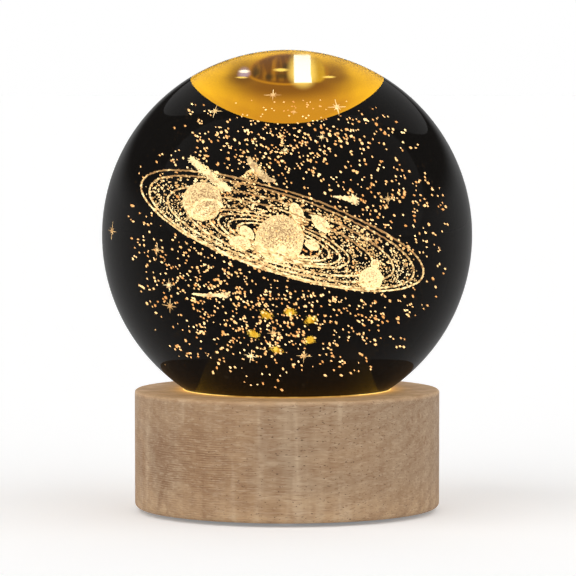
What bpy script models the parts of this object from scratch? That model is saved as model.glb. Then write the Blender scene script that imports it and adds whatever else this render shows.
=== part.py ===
"""Crystal ball lamp: a solid glass ball resting in the seat of a turned wooden base, lit by a ring of LEDs.

Run it with: blender --background --python part.py
Metres, +Z up. The origin is on the table under the middle of the base. The front faces -Y, the socket +Y.
"""

from math import asin, cos, pi, radians, sin, sqrt

import bmesh
import bpy
from mathutils import Vector

# Clearances, and how finely round pieces are cut
SEAT_GAP = 0.0003  # left between two pieces that touch
OVERRUN = 0.002  # how far a cutter runs past the face that it opens
MERGE_DISTANCE = 0.00001
BASE_SEGMENTS = 72
BALL_SEGMENTS = 64
DISC_SEGMENTS = 48
SMALL_SEGMENTS = 18
ROUND_STEPS = 3  # straight runs in a small rounded edge
SHARP_ANGLE = radians(32)

# Crystal ball
BALL_RADIUS = 0.040

# Wooden base, a turned block with one hollow above for the light and one below for the switch gear
BASE_RADIUS = 0.033
BASE_HEIGHT = 0.0255
BASE_STAND = 0.0008  # the wood clears the table, on its pads
BASE_EDGE_ROUND = 0.0009
SEAT_MOUTH_RADIUS = 0.0226
CHAMBER_RADIUS = 0.0205
REBATE_DEPTH = 0.0028  # for the bottom cover
REBATE_RIM = 0.0040  # wood left outside the cover
SHOULDER_WIDTH = 0.0050  # the ring of wood that the cover is screwed to
POCKET_DEPTH = 0.0056  # from the shoulder up to the lower hollow's ceiling
WEB_THICKNESS = 0.0025  # wood left between the two hollows
WEB_HOLE_RADIUS = 0.0130
NOTCH_HALF_WIDTH = 0.0105  # the lower hollow runs out to the back wall here
NOTCH_LIP = 0.0005
FLAT_DEPTH = 0.0014  # the flat milled into the back for the socket and the button
FLAT_HEIGHT = 0.0080

base_foot = BASE_STAND
base_top = base_foot + BASE_HEIGHT
rebate_radius = BASE_RADIUS - REBATE_RIM
shoulder_height = base_foot + REBATE_DEPTH
pocket_radius = rebate_radius - SHOULDER_WIDTH
ceiling_height = shoulder_height + POCKET_DEPTH
shelf_height = ceiling_height + WEB_THICKNESS
notch_back = sqrt(rebate_radius**2 - NOTCH_HALF_WIDTH**2) - NOTCH_LIP
flat_face = BASE_RADIUS - FLAT_DEPTH
seat_radius = BALL_RADIUS + SEAT_GAP
ball_centre = base_top + sqrt(seat_radius**2 - SEAT_MOUTH_RADIUS**2)

# LED board, a round plate on the shelf of the upper hollow
LED_BOARD_EDGE_GAP = 0.0005
LED_BOARD_THICKNESS = 0.0016
LED_BOARD_SCREW_RING_RADIUS = 0.0173
LED_COUNT = 6
LED_RING_RADIUS = 0.0120
LED_SIDE = 0.0050
LED_HEIGHT = 0.0014
LED_EDGE_BEVEL = 0.00025
LED_DISH_RADIUS = 0.0020
LED_DISH_DEPTH = 0.0009
PHOSPHOR_THICKNESS = 0.0004
RESISTOR_RING_RADIUS = 0.0062
RESISTOR_LENGTH = 0.0032
RESISTOR_WIDTH = 0.0016
RESISTOR_HEIGHT = 0.0006
RESISTOR_EDGE_BEVEL = 0.00012
RESISTOR_ANGLES = (radians(-30), radians(90), radians(210))

led_board_radius = CHAMBER_RADIUS - LED_BOARD_EDGE_GAP
led_board_foot = shelf_height + SEAT_GAP
led_board_top = led_board_foot + LED_BOARD_THICKNESS

# Screws: small pan heads for the two boards, countersunk heads for the bottom cover
SCREW_ANGLES = (radians(-90), radians(30), radians(150))
PAN_HEAD_RADIUS = 0.0017
PAN_HEAD_HEIGHT = 0.0011
PAN_SHANK_RADIUS = 0.0008
LED_BOARD_SCREW_LENGTH = 0.0038
PORT_BOARD_SCREW_LENGTH = 0.0030
SINK_HEAD_RADIUS = 0.0017
SINK_HEAD_HEIGHT = 0.0010
SINK_SHANK_RADIUS = 0.0009
COVER_SCREW_LENGTH = 0.0065
CROSS_WIDTH = 0.00045
CROSS_LENGTH = 0.0019
CROSS_DEPTH = 0.0006
PILOT_EXTRA_DEPTH = 0.0004

pan_hole_radius = PAN_SHANK_RADIUS + SEAT_GAP
sink_hole_radius = SINK_SHANK_RADIUS + SEAT_GAP

# Port board, hung from the lower hollow's ceiling, with the socket and the switch below it
PORT_BOARD_THICKNESS = 0.0012
PORT_BOARD_LENGTH = 0.0110
PORT_BOARD_EDGE_GAP = 0.0005
PORT_BOARD_SCREW_INSET = 0.0023
PORT_BOARD_OUTER_SCREW_OFFSET = 0.0078  # left of the middle, like the next one
PORT_BOARD_INNER_SCREW_OFFSET = 0.0003
PORT_BOARD_SCREW_X = (-PORT_BOARD_OUTER_SCREW_OFFSET, -PORT_BOARD_INNER_SCREW_OFFSET)

port_board_top = ceiling_height - SEAT_GAP
port_board_foot = port_board_top - PORT_BOARD_THICKNESS
port_board_half_width = NOTCH_HALF_WIDTH - PORT_BOARD_EDGE_GAP
port_board_back = notch_back - PORT_BOARD_EDGE_GAP
port_board_front = port_board_back - PORT_BOARD_LENGTH
port_board_screw_y = port_board_front + PORT_BOARD_SCREW_INSET

# USB socket: a drawn steel shell round a plastic tongue
usb_x = -0.0042
USB_WIDTH = 0.0089
USB_HEIGHT = 0.0032
USB_WALL = 0.0003
USB_LENGTH = 0.0105
USB_RECESS = 0.0002  # the mouth lies this far inside the milled flat
USB_BLOCK_LENGTH = 0.0035
USB_TONGUE_WIDTH = 0.0066
USB_TONGUE_THICKNESS = 0.0007
USB_TONGUE_SETBACK = 0.0008
RACETRACK_STEPS = 8

usb_mouth = flat_face - USB_RECESS
usb_back = usb_mouth - USB_LENGTH
port_axis_height = port_board_foot - SEAT_GAP - USB_HEIGHT / 2

# Push switch and its button
button_x = 0.0054
BUTTON_RADIUS = 0.0025
BUTTON_STAND = 0.0018  # how far the button stands out of the milled flat
BUTTON_TRAVEL = 0.0012
BUTTON_CROWN = 0.0004
BUTTON_FLANGE_WIDTH = 0.0070
BUTTON_FLANGE_HEIGHT = 0.0044
BUTTON_FLANGE_THICKNESS = 0.0010
BUTTON_HUB_LENGTH = 0.0016
PLUNGER_WIDTH = 0.0024
PLUNGER_HEIGHT = 0.0016
PLUNGER_GRIP = 0.0012  # how deep the plunger sits in the button
SWITCH_WIDTH = 0.0064
SWITCH_LENGTH = 0.0062
SWITCH_HEIGHT = 0.0031
SWITCH_FRONT_WALL = 0.0016
SWITCH_EDGE_BEVEL = 0.0003

flange_back = notch_back - SEAT_GAP
flange_front = flange_back - BUTTON_FLANGE_THICKNESS
hub_front = flange_front - BUTTON_HUB_LENGTH
button_tip = flat_face + BUTTON_STAND
switch_back = hub_front - BUTTON_TRAVEL - SEAT_GAP
switch_front = switch_back - SWITCH_LENGTH
plunger_guide_front = switch_front + SWITCH_FRONT_WALL
plunger_front = plunger_guide_front + BUTTON_TRAVEL + SEAT_GAP
plunger_back = hub_front + PLUNGER_GRIP

# Wires from the port board up to the LED board
WIRE_RADIUS = 0.0006
WIRE_POSITIVE_OFFSET = 0.0052  # left of the middle, like the next one
WIRE_NEGATIVE_OFFSET = 0.0030
WIRE_X = (-WIRE_POSITIVE_OFFSET, -WIRE_NEGATIVE_OFFSET)
WIRE_INSET = 0.0013  # of the solder pads from the port board's front edge
WIRE_DROP = 0.0016  # how far a wire dips below the port board
WIRE_BEND_RADIUS = 0.0008
WIRE_BEND_STEPS = 5
WIRE_TOP_Y = 0.0085

# Bottom cover, its screws and the pads that the lamp stands on
COVER_THICKNESS = 0.0022
COVER_EDGE_GAP = 0.0003
COVER_SCREW_INSET = 0.0024  # from the cover's edge to a screw's axis
PAD_COUNT = 4
PAD_RADIUS = 0.0045
PAD_RING_RADIUS = 0.0180
PAD_THICKNESS = 0.0015
PAD_FIRST_ANGLE = radians(45)

cover_radius = rebate_radius - COVER_EDGE_GAP
cover_top = shoulder_height - SEAT_GAP
cover_foot = cover_top - COVER_THICKNESS
cover_screw_ring_radius = cover_radius - COVER_SCREW_INSET

# Colours
GLASS_COLOUR = (0.06, 0.055, 0.06)
WOOD_COLOUR = (0.50, 0.36, 0.25)
BOARD_WHITE = (0.80, 0.79, 0.75)
BOARD_GREEN = (0.03, 0.16, 0.08)
PACKAGE_WHITE = (0.85, 0.84, 0.80)
PHOSPHOR_YELLOW = (0.90, 0.62, 0.08)
CERAMIC_BLACK = (0.015, 0.015, 0.018)
STEEL_COLOUR = (0.60, 0.60, 0.62)
PLASTIC_BLACK = (0.02, 0.02, 0.022)
PLUNGER_IVORY = (0.72, 0.66, 0.50)
BUTTON_GREY = (0.16, 0.16, 0.17)
COVER_GREY = (0.045, 0.045, 0.05)
WIRE_RED = (0.55, 0.03, 0.02)
PAD_BLACK = (0.03, 0.03, 0.03)


def polar(radius, angle, height=0.0):
    """The point at this radius and angle round the lamp's axis."""
    return Vector((radius * cos(angle), radius * sin(angle), height))


def ring_angles(count, first=0.0):
    """Angles spaced evenly round the lamp's axis."""
    return [first + 2 * pi * number / count for number in range(count)]


def new_collection(name):
    collection = bpy.data.collections.new(name)
    bpy.context.scene.collection.children.link(collection)
    return collection


def new_material(name, colour, roughness, metallic=0.0, transmission=0.0):
    material = bpy.data.materials.new(name)
    material.use_nodes = True
    shader = material.node_tree.nodes["Principled BSDF"]
    shader.inputs["Base Color"].default_value = (*colour, 1.0)
    shader.inputs["Roughness"].default_value = roughness
    shader.inputs["Metallic"].default_value = metallic
    shader.inputs["Transmission Weight"].default_value = transmission
    material.diffuse_color = (*colour, 1.0)
    return material


def new_object(name, data, collection):
    obj = bpy.data.objects.new(name, data)
    collection.objects.link(obj)
    return obj


def object_from_bmesh(name, bm, collection):
    mesh = bpy.data.meshes.new(name)
    bm.to_mesh(mesh)
    bm.free()
    return new_object(name, mesh, collection)


def box(name, low, high, collection, bevel=0.0):
    """A box between two corners, its edges bevelled if a width is given."""
    low = Vector(low)
    high = Vector(high)
    bm = bmesh.new()
    bmesh.ops.create_cube(bm, size=1.0)
    bmesh.ops.scale(bm, vec=high - low, verts=bm.verts)
    bmesh.ops.translate(bm, vec=(low + high) / 2, verts=bm.verts)
    if bevel:
        bmesh.ops.bevel(bm, geom=bm.edges[:], offset=bevel, affect="EDGES", segments=1, profile=0.5)
    return object_from_bmesh(name, bm, collection)


def cone(name, foot_radius, top_radius, foot, top, segments, collection):
    """An upright cone between two heights, centred on its own Z axis."""
    bm = bmesh.new()
    bmesh.ops.create_cone(
        bm, cap_ends=True, segments=segments, radius1=foot_radius, radius2=top_radius, depth=top - foot
    )
    bmesh.ops.translate(bm, vec=(0, 0, (foot + top) / 2), verts=bm.verts)
    return object_from_bmesh(name, bm, collection)


def cylinder(name, radius, foot, top, segments, collection):
    return cone(name, radius, radius, foot, top, segments, collection)


def turned(name, profile, segments, collection, hollow=False):
    """A solid of revolution. Its profile starts at the top, runs down the outer side, and closes if hollow."""
    bm = bmesh.new()
    corners = [bm.verts.new((radius, 0, height)) for radius, height in profile]
    ends = corners[1:] + corners[:1] if hollow else corners[1:]
    for first, second in zip(corners, ends):
        bm.edges.new((first, second))
    obj = object_from_bmesh(name, bm, collection)
    screw = obj.modifiers.new("Turn", "SCREW")
    screw.steps = segments
    screw.render_steps = segments
    screw.use_merge_vertices = True
    screw.merge_threshold = MERGE_DISTANCE
    return obj


def mesh_from_curve(drawn, collection):
    """Replaces a curve object by a mesh object of its name, with the caps welded to the sides."""
    bpy.context.view_layer.update()
    graph = bpy.context.evaluated_depsgraph_get()
    bm = bmesh.new()
    bm.from_mesh(bpy.data.meshes.new_from_object(drawn.evaluated_get(graph)))
    bmesh.ops.remove_doubles(bm, verts=bm.verts, dist=MERGE_DISTANCE)
    name = drawn.name
    bpy.data.objects.remove(drawn)
    return object_from_bmesh(name, bm, collection)


def prism(name, outlines, thickness, collection):
    """A plate of the first outline, centred on z = 0, with a hole for each outline that lies inside it."""
    curve = bpy.data.curves.new(name, "CURVE")
    curve.dimensions = "2D"
    curve.fill_mode = "BOTH"
    curve.extrude = thickness / 2
    for points in outlines:
        spline = curve.splines.new("POLY")
        spline.points.add(len(points) - 1)
        for point, (x, y) in zip(spline.points, points):
            point.co = (x, y, 0, 1)
        spline.use_cyclic_u = True
    return mesh_from_curve(new_object(name, curve, collection), collection)


def tube(name, radius, route, collection):
    """A wire along a route, with filled ends."""
    curve = bpy.data.curves.new(name, "CURVE")
    curve.dimensions = "3D"
    curve.bevel_depth = radius
    curve.bevel_resolution = 2
    curve.use_fill_caps = True
    spline = curve.splines.new("POLY")
    spline.points.add(len(route) - 1)
    for point, place in zip(spline.points, route):
        point.co = (*place, 1)
    return mesh_from_curve(new_object(name, curve, collection), collection)


def circle_outline(radius, segments, x=0.0, y=0.0):
    return [(x + radius * cos(angle), y + radius * sin(angle)) for angle in ring_angles(segments)]


def racetrack_outline(width, height):
    """A slot shape, lying along X, with half-round ends."""
    radius = height / 2
    reach = width / 2 - radius
    turns = [-pi / 2 + pi * step / RACETRACK_STEPS for step in range(RACETRACK_STEPS + 1)]
    right = [(reach + radius * cos(turn), radius * sin(turn)) for turn in turns]
    return right + [(-x, -y) for x, y in right]


def corner_arc(x, z, radius, start, end):
    """Points round a corner of a profile, from one angle to another."""
    turns = [start + (end - start) * step / ROUND_STEPS for step in range(ROUND_STEPS + 1)]
    return [(x + radius * cos(turn), z + radius * sin(turn)) for turn in turns]


def lay_along_y(obj, x, y, z):
    """Places a piece that was made along Z so that it runs along +Y from this point."""
    obj.rotation_euler = (-pi / 2, 0, 0)
    obj.location = (x, y, z)


def combine(target, other, operation):
    boolean = target.modifiers.new(other.name, "BOOLEAN")
    boolean.operation = operation
    boolean.solver = "EXACT"
    boolean.object = other
    other.hide_render = True
    other.display_type = "WIRE"


def cut(target, *cutters):
    for cutter in cutters:
        combine(target, cutter, "DIFFERENCE")


def join(target, other):
    combine(target, other, "UNION")


def finish(obj, material, parent):
    """Turns a piece's modifiers into its mesh, shades its round faces smooth and hangs it on its parent."""
    bpy.context.view_layer.update()
    graph = bpy.context.evaluated_depsgraph_get()
    mesh = bpy.data.meshes.new_from_object(obj.evaluated_get(graph))
    mesh.name = obj.name
    obj.modifiers.clear()
    obj.data = mesh
    mesh.shade_smooth()
    mesh.set_sharp_from_angle(angle=SHARP_ANGLE)
    mesh.materials.clear()
    mesh.materials.append(material)
    placed = obj.matrix_world.copy()
    obj.parent = parent
    obj.matrix_world = placed


def add_pivot(name, place, collection):
    """An empty on a moving piece's axis."""
    pivot = new_object(name, None, collection)
    pivot.location = place
    pivot.empty_display_size = BALL_RADIUS
    bpy.context.view_layer.update()
    return pivot


def make_crystal_ball(parts, pivot, glass):
    """One ground and polished sphere, with no flat on it."""
    bm = bmesh.new()
    bmesh.ops.create_uvsphere(bm, u_segments=BALL_SEGMENTS, v_segments=BALL_SEGMENTS // 2, radius=BALL_RADIUS)
    ball = object_from_bmesh("crystal_ball", bm, parts)
    ball.location = (0, 0, ball_centre)
    finish(ball, glass, pivot)


def base_profile():
    """The wood's section: from the top's outer edge down the side, then up inside to the seat's mouth."""
    side = BASE_RADIUS - BASE_EDGE_ROUND
    top_edge = corner_arc(side, base_top - BASE_EDGE_ROUND, BASE_EDGE_ROUND, pi / 2, 0)
    foot_edge = corner_arc(side, base_foot + BASE_EDGE_ROUND, BASE_EDGE_ROUND, 0, -pi / 2)
    hollows = [
        (rebate_radius, base_foot),
        (rebate_radius, shoulder_height),
        (pocket_radius, shoulder_height),
        (pocket_radius, ceiling_height),
        (WEB_HOLE_RADIUS, ceiling_height),
        (WEB_HOLE_RADIUS, shelf_height),
        (CHAMBER_RADIUS, shelf_height),
    ]
    start = asin(CHAMBER_RADIUS / seat_radius)
    end = asin(SEAT_MOUTH_RADIUS / seat_radius)
    turns = [start + (end - start) * step / ROUND_STEPS for step in range(ROUND_STEPS + 1)]
    seat = [(seat_radius * sin(turn), ball_centre - seat_radius * cos(turn)) for turn in turns]
    return top_edge + foot_edge + hollows + seat


def back_wall_cutters(cutters):
    """The notch inside the back wall, the flat outside it, and the two holes between them."""
    notch = box(
        "cut_notch",
        (-NOTCH_HALF_WIDTH, 0, shoulder_height - OVERRUN),
        (NOTCH_HALF_WIDTH, notch_back, ceiling_height),
        cutters,
    )
    flat = box(
        "cut_flat",
        (-BASE_RADIUS, flat_face, port_axis_height - FLAT_HEIGHT / 2),
        (BASE_RADIUS, BASE_RADIUS + OVERRUN, port_axis_height + FLAT_HEIGHT / 2),
        cutters,
    )
    reach = (flat_face - notch_back) / 2 + OVERRUN
    middle = (flat_face + notch_back) / 2
    slot_outline = racetrack_outline(USB_WIDTH + 2 * SEAT_GAP, USB_HEIGHT + 2 * SEAT_GAP)
    slot = prism("cut_socket_slot", [slot_outline], 2 * reach, cutters)
    lay_along_y(slot, usb_x, middle, port_axis_height)
    hole = cylinder("cut_button_hole", BUTTON_RADIUS + SEAT_GAP, -reach, reach, SMALL_SEGMENTS, cutters)
    lay_along_y(hole, button_x, middle, port_axis_height)
    return notch, flat, slot, hole


def pilot_cutters(cutters):
    """The holes that the screws bite into."""
    pilots = []
    for number, angle in enumerate(SCREW_ANGLES, 1):
        name = f"cut_led_board_pilot_{number}"
        top = shelf_height + OVERRUN
        pilot = cylinder(name, pan_hole_radius, ceiling_height - OVERRUN, top, SMALL_SEGMENTS, cutters)
        pilot.location = polar(LED_BOARD_SCREW_RING_RADIUS, angle)
        pilots.append(pilot)
    for number, x in enumerate(PORT_BOARD_SCREW_X, 1):
        name = f"cut_port_board_pilot_{number}"
        top = port_board_foot - SEAT_GAP + PORT_BOARD_SCREW_LENGTH + PILOT_EXTRA_DEPTH
        pilot = cylinder(name, pan_hole_radius, ceiling_height - OVERRUN, top, SMALL_SEGMENTS, cutters)
        pilot.location = (x, port_board_screw_y, 0)
        pilots.append(pilot)
    for number, angle in enumerate(SCREW_ANGLES, 1):
        name = f"cut_cover_pilot_{number}"
        top = cover_foot + COVER_SCREW_LENGTH + PILOT_EXTRA_DEPTH
        pilot = cylinder(name, sink_hole_radius, shoulder_height - OVERRUN, top, SMALL_SEGMENTS, cutters)
        pilot.location = polar(cover_screw_ring_radius, angle)
        pilots.append(pilot)
    return pilots


def make_wooden_base(parts, cutters, root, wood):
    """Turned from one block, then milled at the back for the socket and the button."""
    base = turned("wooden_base", base_profile(), BASE_SEGMENTS, parts, hollow=True)
    cut(base, *back_wall_cutters(cutters), *pilot_cutters(cutters))
    finish(base, wood, root)


def make_led_board(parts, root, white):
    """A round white board with three screw holes, lying on the shelf."""
    outlines = [circle_outline(led_board_radius, DISC_SEGMENTS)]
    for angle in SCREW_ANGLES:
        place = polar(LED_BOARD_SCREW_RING_RADIUS, angle)
        outlines.append(circle_outline(pan_hole_radius, SMALL_SEGMENTS, place.x, place.y))
    board = prism("led_board", outlines, LED_BOARD_THICKNESS, parts)
    board.location = (0, 0, led_board_foot + LED_BOARD_THICKNESS / 2)
    finish(board, white, root)


def make_leds(parts, cutters, root, white, phosphor):
    """Square packages round the board, each with a round dish that holds its yellow phosphor."""
    half = LED_SIDE / 2
    dish_floor = LED_HEIGHT - LED_DISH_DEPTH
    phosphor_foot = dish_floor + SEAT_GAP
    phosphor_top = phosphor_foot + PHOSPHOR_THICKNESS
    phosphor_radius = LED_DISH_RADIUS - SEAT_GAP
    for number, angle in enumerate(ring_angles(LED_COUNT), 1):
        name = f"led_package_{number}"
        package = box(name, (-half, -half, 0), (half, half, LED_HEIGHT), parts, bevel=LED_EDGE_BEVEL)
        dish_top = LED_HEIGHT + OVERRUN
        dish_name = f"cut_led_dish_{number}"
        dish = cylinder(dish_name, LED_DISH_RADIUS, dish_floor, dish_top, SMALL_SEGMENTS, cutters)
        disc_name = f"led_phosphor_{number}"
        disc = cylinder(disc_name, phosphor_radius, phosphor_foot, phosphor_top, SMALL_SEGMENTS, parts)
        for piece in (package, dish, disc):
            piece.location = polar(LED_RING_RADIUS, angle, led_board_top + SEAT_GAP)
            piece.rotation_euler = (0, 0, angle)
        cut(package, dish)
        finish(package, white, root)
        finish(disc, phosphor, root)


def make_resistors(parts, root, ceramic):
    """One resistor for each pair of LEDs, laid across the board's middle."""
    corner = Vector((RESISTOR_LENGTH, RESISTOR_WIDTH, RESISTOR_HEIGHT)) / 2
    height = led_board_top + SEAT_GAP + RESISTOR_HEIGHT / 2
    for number, angle in enumerate(RESISTOR_ANGLES, 1):
        resistor = box(f"resistor_{number}", -corner, corner, parts, bevel=RESISTOR_EDGE_BEVEL)
        resistor.location = polar(RESISTOR_RING_RADIUS, angle, height)
        resistor.rotation_euler = (0, 0, angle + pi / 2)
        finish(resistor, ceramic, root)


def pan_screw_profile(length):
    """A low domed head whose underside is at z = 0, on a plain shank with a short point."""
    turns = [radians(75) * step / ROUND_STEPS for step in range(ROUND_STEPS + 1)]
    dome = [(PAN_HEAD_RADIUS * sin(turn), PAN_HEAD_HEIGHT * cos(turn)) for turn in turns]
    shank = [(PAN_SHANK_RADIUS, 0), (PAN_SHANK_RADIUS, PAN_SHANK_RADIUS - length), (0, -length)]
    return dome + [(PAN_HEAD_RADIUS, 0)] + shank


def sink_screw_profile(length):
    """A countersunk head whose flat face is at z = 0, on a plain shank with a short point."""
    shank = [(SINK_SHANK_RADIUS, -SINK_HEAD_HEIGHT), (SINK_SHANK_RADIUS, SINK_SHANK_RADIUS - length)]
    return [(0, 0), (SINK_HEAD_RADIUS, 0)] + shank + [(0, -length)]


def make_screw(name, profile, place, upside_down, parts, cutters, root, steel):
    """A turned screw with a cross cut into its head, standing on its point or hung upside down."""
    screw = turned(name, profile, SMALL_SEGMENTS, parts)
    screw.location = place
    screw.rotation_euler = (pi if upside_down else 0, 0, 0)
    head_top = profile[0][1]
    for bar, turn in (("a", 0), ("b", pi / 2)):
        slot = box(
            f"cut_{name}_{bar}",
            (-CROSS_LENGTH / 2, -CROSS_WIDTH / 2, head_top - CROSS_DEPTH),
            (CROSS_LENGTH / 2, CROSS_WIDTH / 2, head_top + OVERRUN),
            cutters,
        )
        slot.rotation_euler = (0, 0, turn)
        slot.parent = screw
        cut(screw, slot)
    finish(screw, steel, root)


def make_screws(parts, cutters, root, steel):
    for number, angle in enumerate(SCREW_ANGLES, 1):
        place = polar(LED_BOARD_SCREW_RING_RADIUS, angle, led_board_top + SEAT_GAP)
        profile = pan_screw_profile(LED_BOARD_SCREW_LENGTH)
        make_screw(f"led_board_screw_{number}", profile, place, False, parts, cutters, root, steel)
    for number, x in enumerate(PORT_BOARD_SCREW_X, 1):
        place = (x, port_board_screw_y, port_board_foot - SEAT_GAP)
        profile = pan_screw_profile(PORT_BOARD_SCREW_LENGTH)
        make_screw(f"port_board_screw_{number}", profile, place, True, parts, cutters, root, steel)
    for number, angle in enumerate(SCREW_ANGLES, 1):
        place = polar(cover_screw_ring_radius, angle, cover_foot)
        profile = sink_screw_profile(COVER_SCREW_LENGTH)
        make_screw(f"cover_screw_{number}", profile, place, True, parts, cutters, root, steel)


def make_port_board(parts, root, green):
    """The small board that carries the socket and the switch. Its corner is cut away for the button."""
    corner_x = button_x - BUTTON_FLANGE_WIDTH / 2 - PORT_BOARD_EDGE_GAP
    edge = [
        (-port_board_half_width, port_board_front),
        (port_board_half_width, port_board_front),
        (port_board_half_width, switch_back),
        (corner_x, switch_back),
        (corner_x, port_board_back),
        (-port_board_half_width, port_board_back),
    ]
    holes = [
        circle_outline(pan_hole_radius, SMALL_SEGMENTS, x, port_board_screw_y) for x in PORT_BOARD_SCREW_X
    ]
    board = prism("port_board", [edge, *holes], PORT_BOARD_THICKNESS, parts)
    board.location = (0, 0, port_board_foot + PORT_BOARD_THICKNESS / 2)
    finish(board, green, root)


def make_usb_socket(parts, cutters, root, steel, plastic):
    """A racetrack shell, and inside it a block with the tongue that a plug goes round."""
    bore_width = USB_WIDTH - 2 * USB_WALL
    bore_height = USB_HEIGHT - 2 * USB_WALL
    shell_outlines = [racetrack_outline(USB_WIDTH, USB_HEIGHT), racetrack_outline(bore_width, bore_height)]
    shell = prism("usb_shell", shell_outlines, USB_LENGTH, parts)
    lay_along_y(shell, usb_x, usb_back + USB_LENGTH / 2, port_axis_height)
    finish(shell, steel, root)

    block_outline = racetrack_outline(bore_width - 2 * SEAT_GAP, bore_height - 2 * SEAT_GAP)
    block = prism("usb_insulator", [block_outline], USB_BLOCK_LENGTH, parts)
    block_middle = usb_back + USB_BLOCK_LENGTH / 2
    lay_along_y(block, usb_x, block_middle, port_axis_height)
    half_width = USB_TONGUE_WIDTH / 2
    half_thickness = USB_TONGUE_THICKNESS / 2
    tongue = box(
        "add_usb_tongue",
        (usb_x - half_width, block_middle, port_axis_height - half_thickness),
        (usb_x + half_width, usb_mouth - USB_TONGUE_SETBACK, port_axis_height + half_thickness),
        cutters,
    )
    join(block, tongue)
    finish(block, plastic, root)


def make_switch(parts, cutters, root, pivot, black, ivory):
    """A side-push switch under the port board, and the plunger that slides in it."""
    half_width = SWITCH_WIDTH / 2
    housing_top = port_board_foot - SEAT_GAP
    housing = box(
        "switch_housing",
        (button_x - half_width, switch_front, housing_top - SWITCH_HEIGHT),
        (button_x + half_width, switch_back, housing_top),
        parts,
        bevel=SWITCH_EDGE_BEVEL,
    )
    guide_half_width = PLUNGER_WIDTH / 2 + SEAT_GAP
    guide_half_height = PLUNGER_HEIGHT / 2 + SEAT_GAP
    guide = box(
        "cut_plunger_guide",
        (button_x - guide_half_width, plunger_guide_front, port_axis_height - guide_half_height),
        (button_x + guide_half_width, switch_back + OVERRUN, port_axis_height + guide_half_height),
        cutters,
    )
    cut(housing, guide)
    finish(housing, black, root)
    plunger = box(
        "switch_plunger",
        (button_x - PLUNGER_WIDTH / 2, plunger_front, port_axis_height - PLUNGER_HEIGHT / 2),
        (button_x + PLUNGER_WIDTH / 2, plunger_back, port_axis_height + PLUNGER_HEIGHT / 2),
        parts,
    )
    finish(plunger, ivory, pivot)


def make_button(parts, cutters, pivot, grey):
    """A round button with a flange behind the wall that keeps it in, pushed onto the plunger."""
    length = button_tip - hub_front
    crown = corner_arc(BUTTON_RADIUS - BUTTON_CROWN, length - BUTTON_CROWN, BUTTON_CROWN, pi / 2, 0)
    button = turned("button_cap", [(0, length), *crown, (BUTTON_RADIUS, 0), (0, 0)], SMALL_SEGMENTS, parts)
    lay_along_y(button, button_x, hub_front, port_axis_height)
    half_width = BUTTON_FLANGE_WIDTH / 2
    half_height = BUTTON_FLANGE_HEIGHT / 2
    flange = box(
        "add_button_flange",
        (button_x - half_width, flange_front, port_axis_height - half_height),
        (button_x + half_width, flange_back, port_axis_height + half_height),
        cutters,
    )
    grip_half_width = PLUNGER_WIDTH / 2 + SEAT_GAP
    grip_half_height = PLUNGER_HEIGHT / 2 + SEAT_GAP
    grip = box(
        "cut_plunger_grip",
        (button_x - grip_half_width, hub_front - OVERRUN, port_axis_height - grip_half_height),
        (button_x + grip_half_width, plunger_back + SEAT_GAP, port_axis_height + grip_half_height),
        cutters,
    )
    join(button, flange)
    cut(button, grip)
    finish(button, grey, pivot)


def wire_route(x):
    """Down from the port board's solder pad, forward under it, and up through the web to the LED board."""
    pad_y = port_board_front + WIRE_INSET
    start = port_board_foot - SEAT_GAP
    end = led_board_foot - SEAT_GAP
    centre_z = start - WIRE_DROP + WIRE_BEND_RADIUS
    down = []
    up = []
    for step in range(WIRE_BEND_STEPS + 1):
        along = WIRE_BEND_RADIUS * sin(pi / 2 * step / WIRE_BEND_STEPS)
        across = WIRE_BEND_RADIUS * cos(pi / 2 * step / WIRE_BEND_STEPS)
        down.append((pad_y - WIRE_BEND_RADIUS + across, centre_z - along))
        up.append((WIRE_TOP_Y + WIRE_BEND_RADIUS - along, centre_z - across))
    return [(x, y, z) for y, z in [(pad_y, start), *down, *up, (WIRE_TOP_Y, end)]]


def make_wires(parts, root, red, black):
    for name, x, colour in (("wire_positive", WIRE_X[0], red), ("wire_negative", WIRE_X[1], black)):
        finish(tube(name, WIRE_RADIUS, wire_route(x), parts), colour, root)


def make_bottom_cover(parts, cutters, root, grey):
    """A moulded disc with countersunk screw holes and round recesses for the pads."""
    cover = cylinder("bottom_cover", cover_radius, cover_foot, cover_top, DISC_SEGMENTS, parts)
    slope = (SINK_HEAD_RADIUS - SINK_SHANK_RADIUS) / SINK_HEAD_HEIGHT
    mouth_radius = SINK_HEAD_RADIUS + SEAT_GAP + slope * OVERRUN
    sink_foot = cover_foot - OVERRUN
    sink_top = cover_foot + SINK_HEAD_HEIGHT
    for number, angle in enumerate(SCREW_ANGLES, 1):
        name = f"cut_cover_hole_{number}"
        hole = cylinder(name, sink_hole_radius, sink_foot, cover_top + OVERRUN, SMALL_SEGMENTS, cutters)
        name = f"cut_cover_countersink_{number}"
        sink = cone(name, mouth_radius, sink_hole_radius, sink_foot, sink_top, SMALL_SEGMENTS, cutters)
        for cutter in (hole, sink):
            cutter.location = polar(cover_screw_ring_radius, angle)
        cut(cover, hole, sink)
    for number, angle in enumerate(ring_angles(PAD_COUNT, PAD_FIRST_ANGLE), 1):
        recess = cylinder(
            f"cut_pad_recess_{number}",
            PAD_RADIUS + SEAT_GAP,
            cover_foot - OVERRUN,
            PAD_THICKNESS + SEAT_GAP,
            SMALL_SEGMENTS,
            cutters,
        )
        recess.location = polar(PAD_RING_RADIUS, angle)
        cut(cover, recess)
    finish(cover, grey, root)


def make_foot_pads(parts, root, foam):
    for number, angle in enumerate(ring_angles(PAD_COUNT, PAD_FIRST_ANGLE), 1):
        pad = cylinder(f"foot_pad_{number}", PAD_RADIUS, 0, PAD_THICKNESS, SMALL_SEGMENTS, parts)
        pad.location = polar(PAD_RING_RADIUS, angle)
        finish(pad, foam, root)


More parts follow.
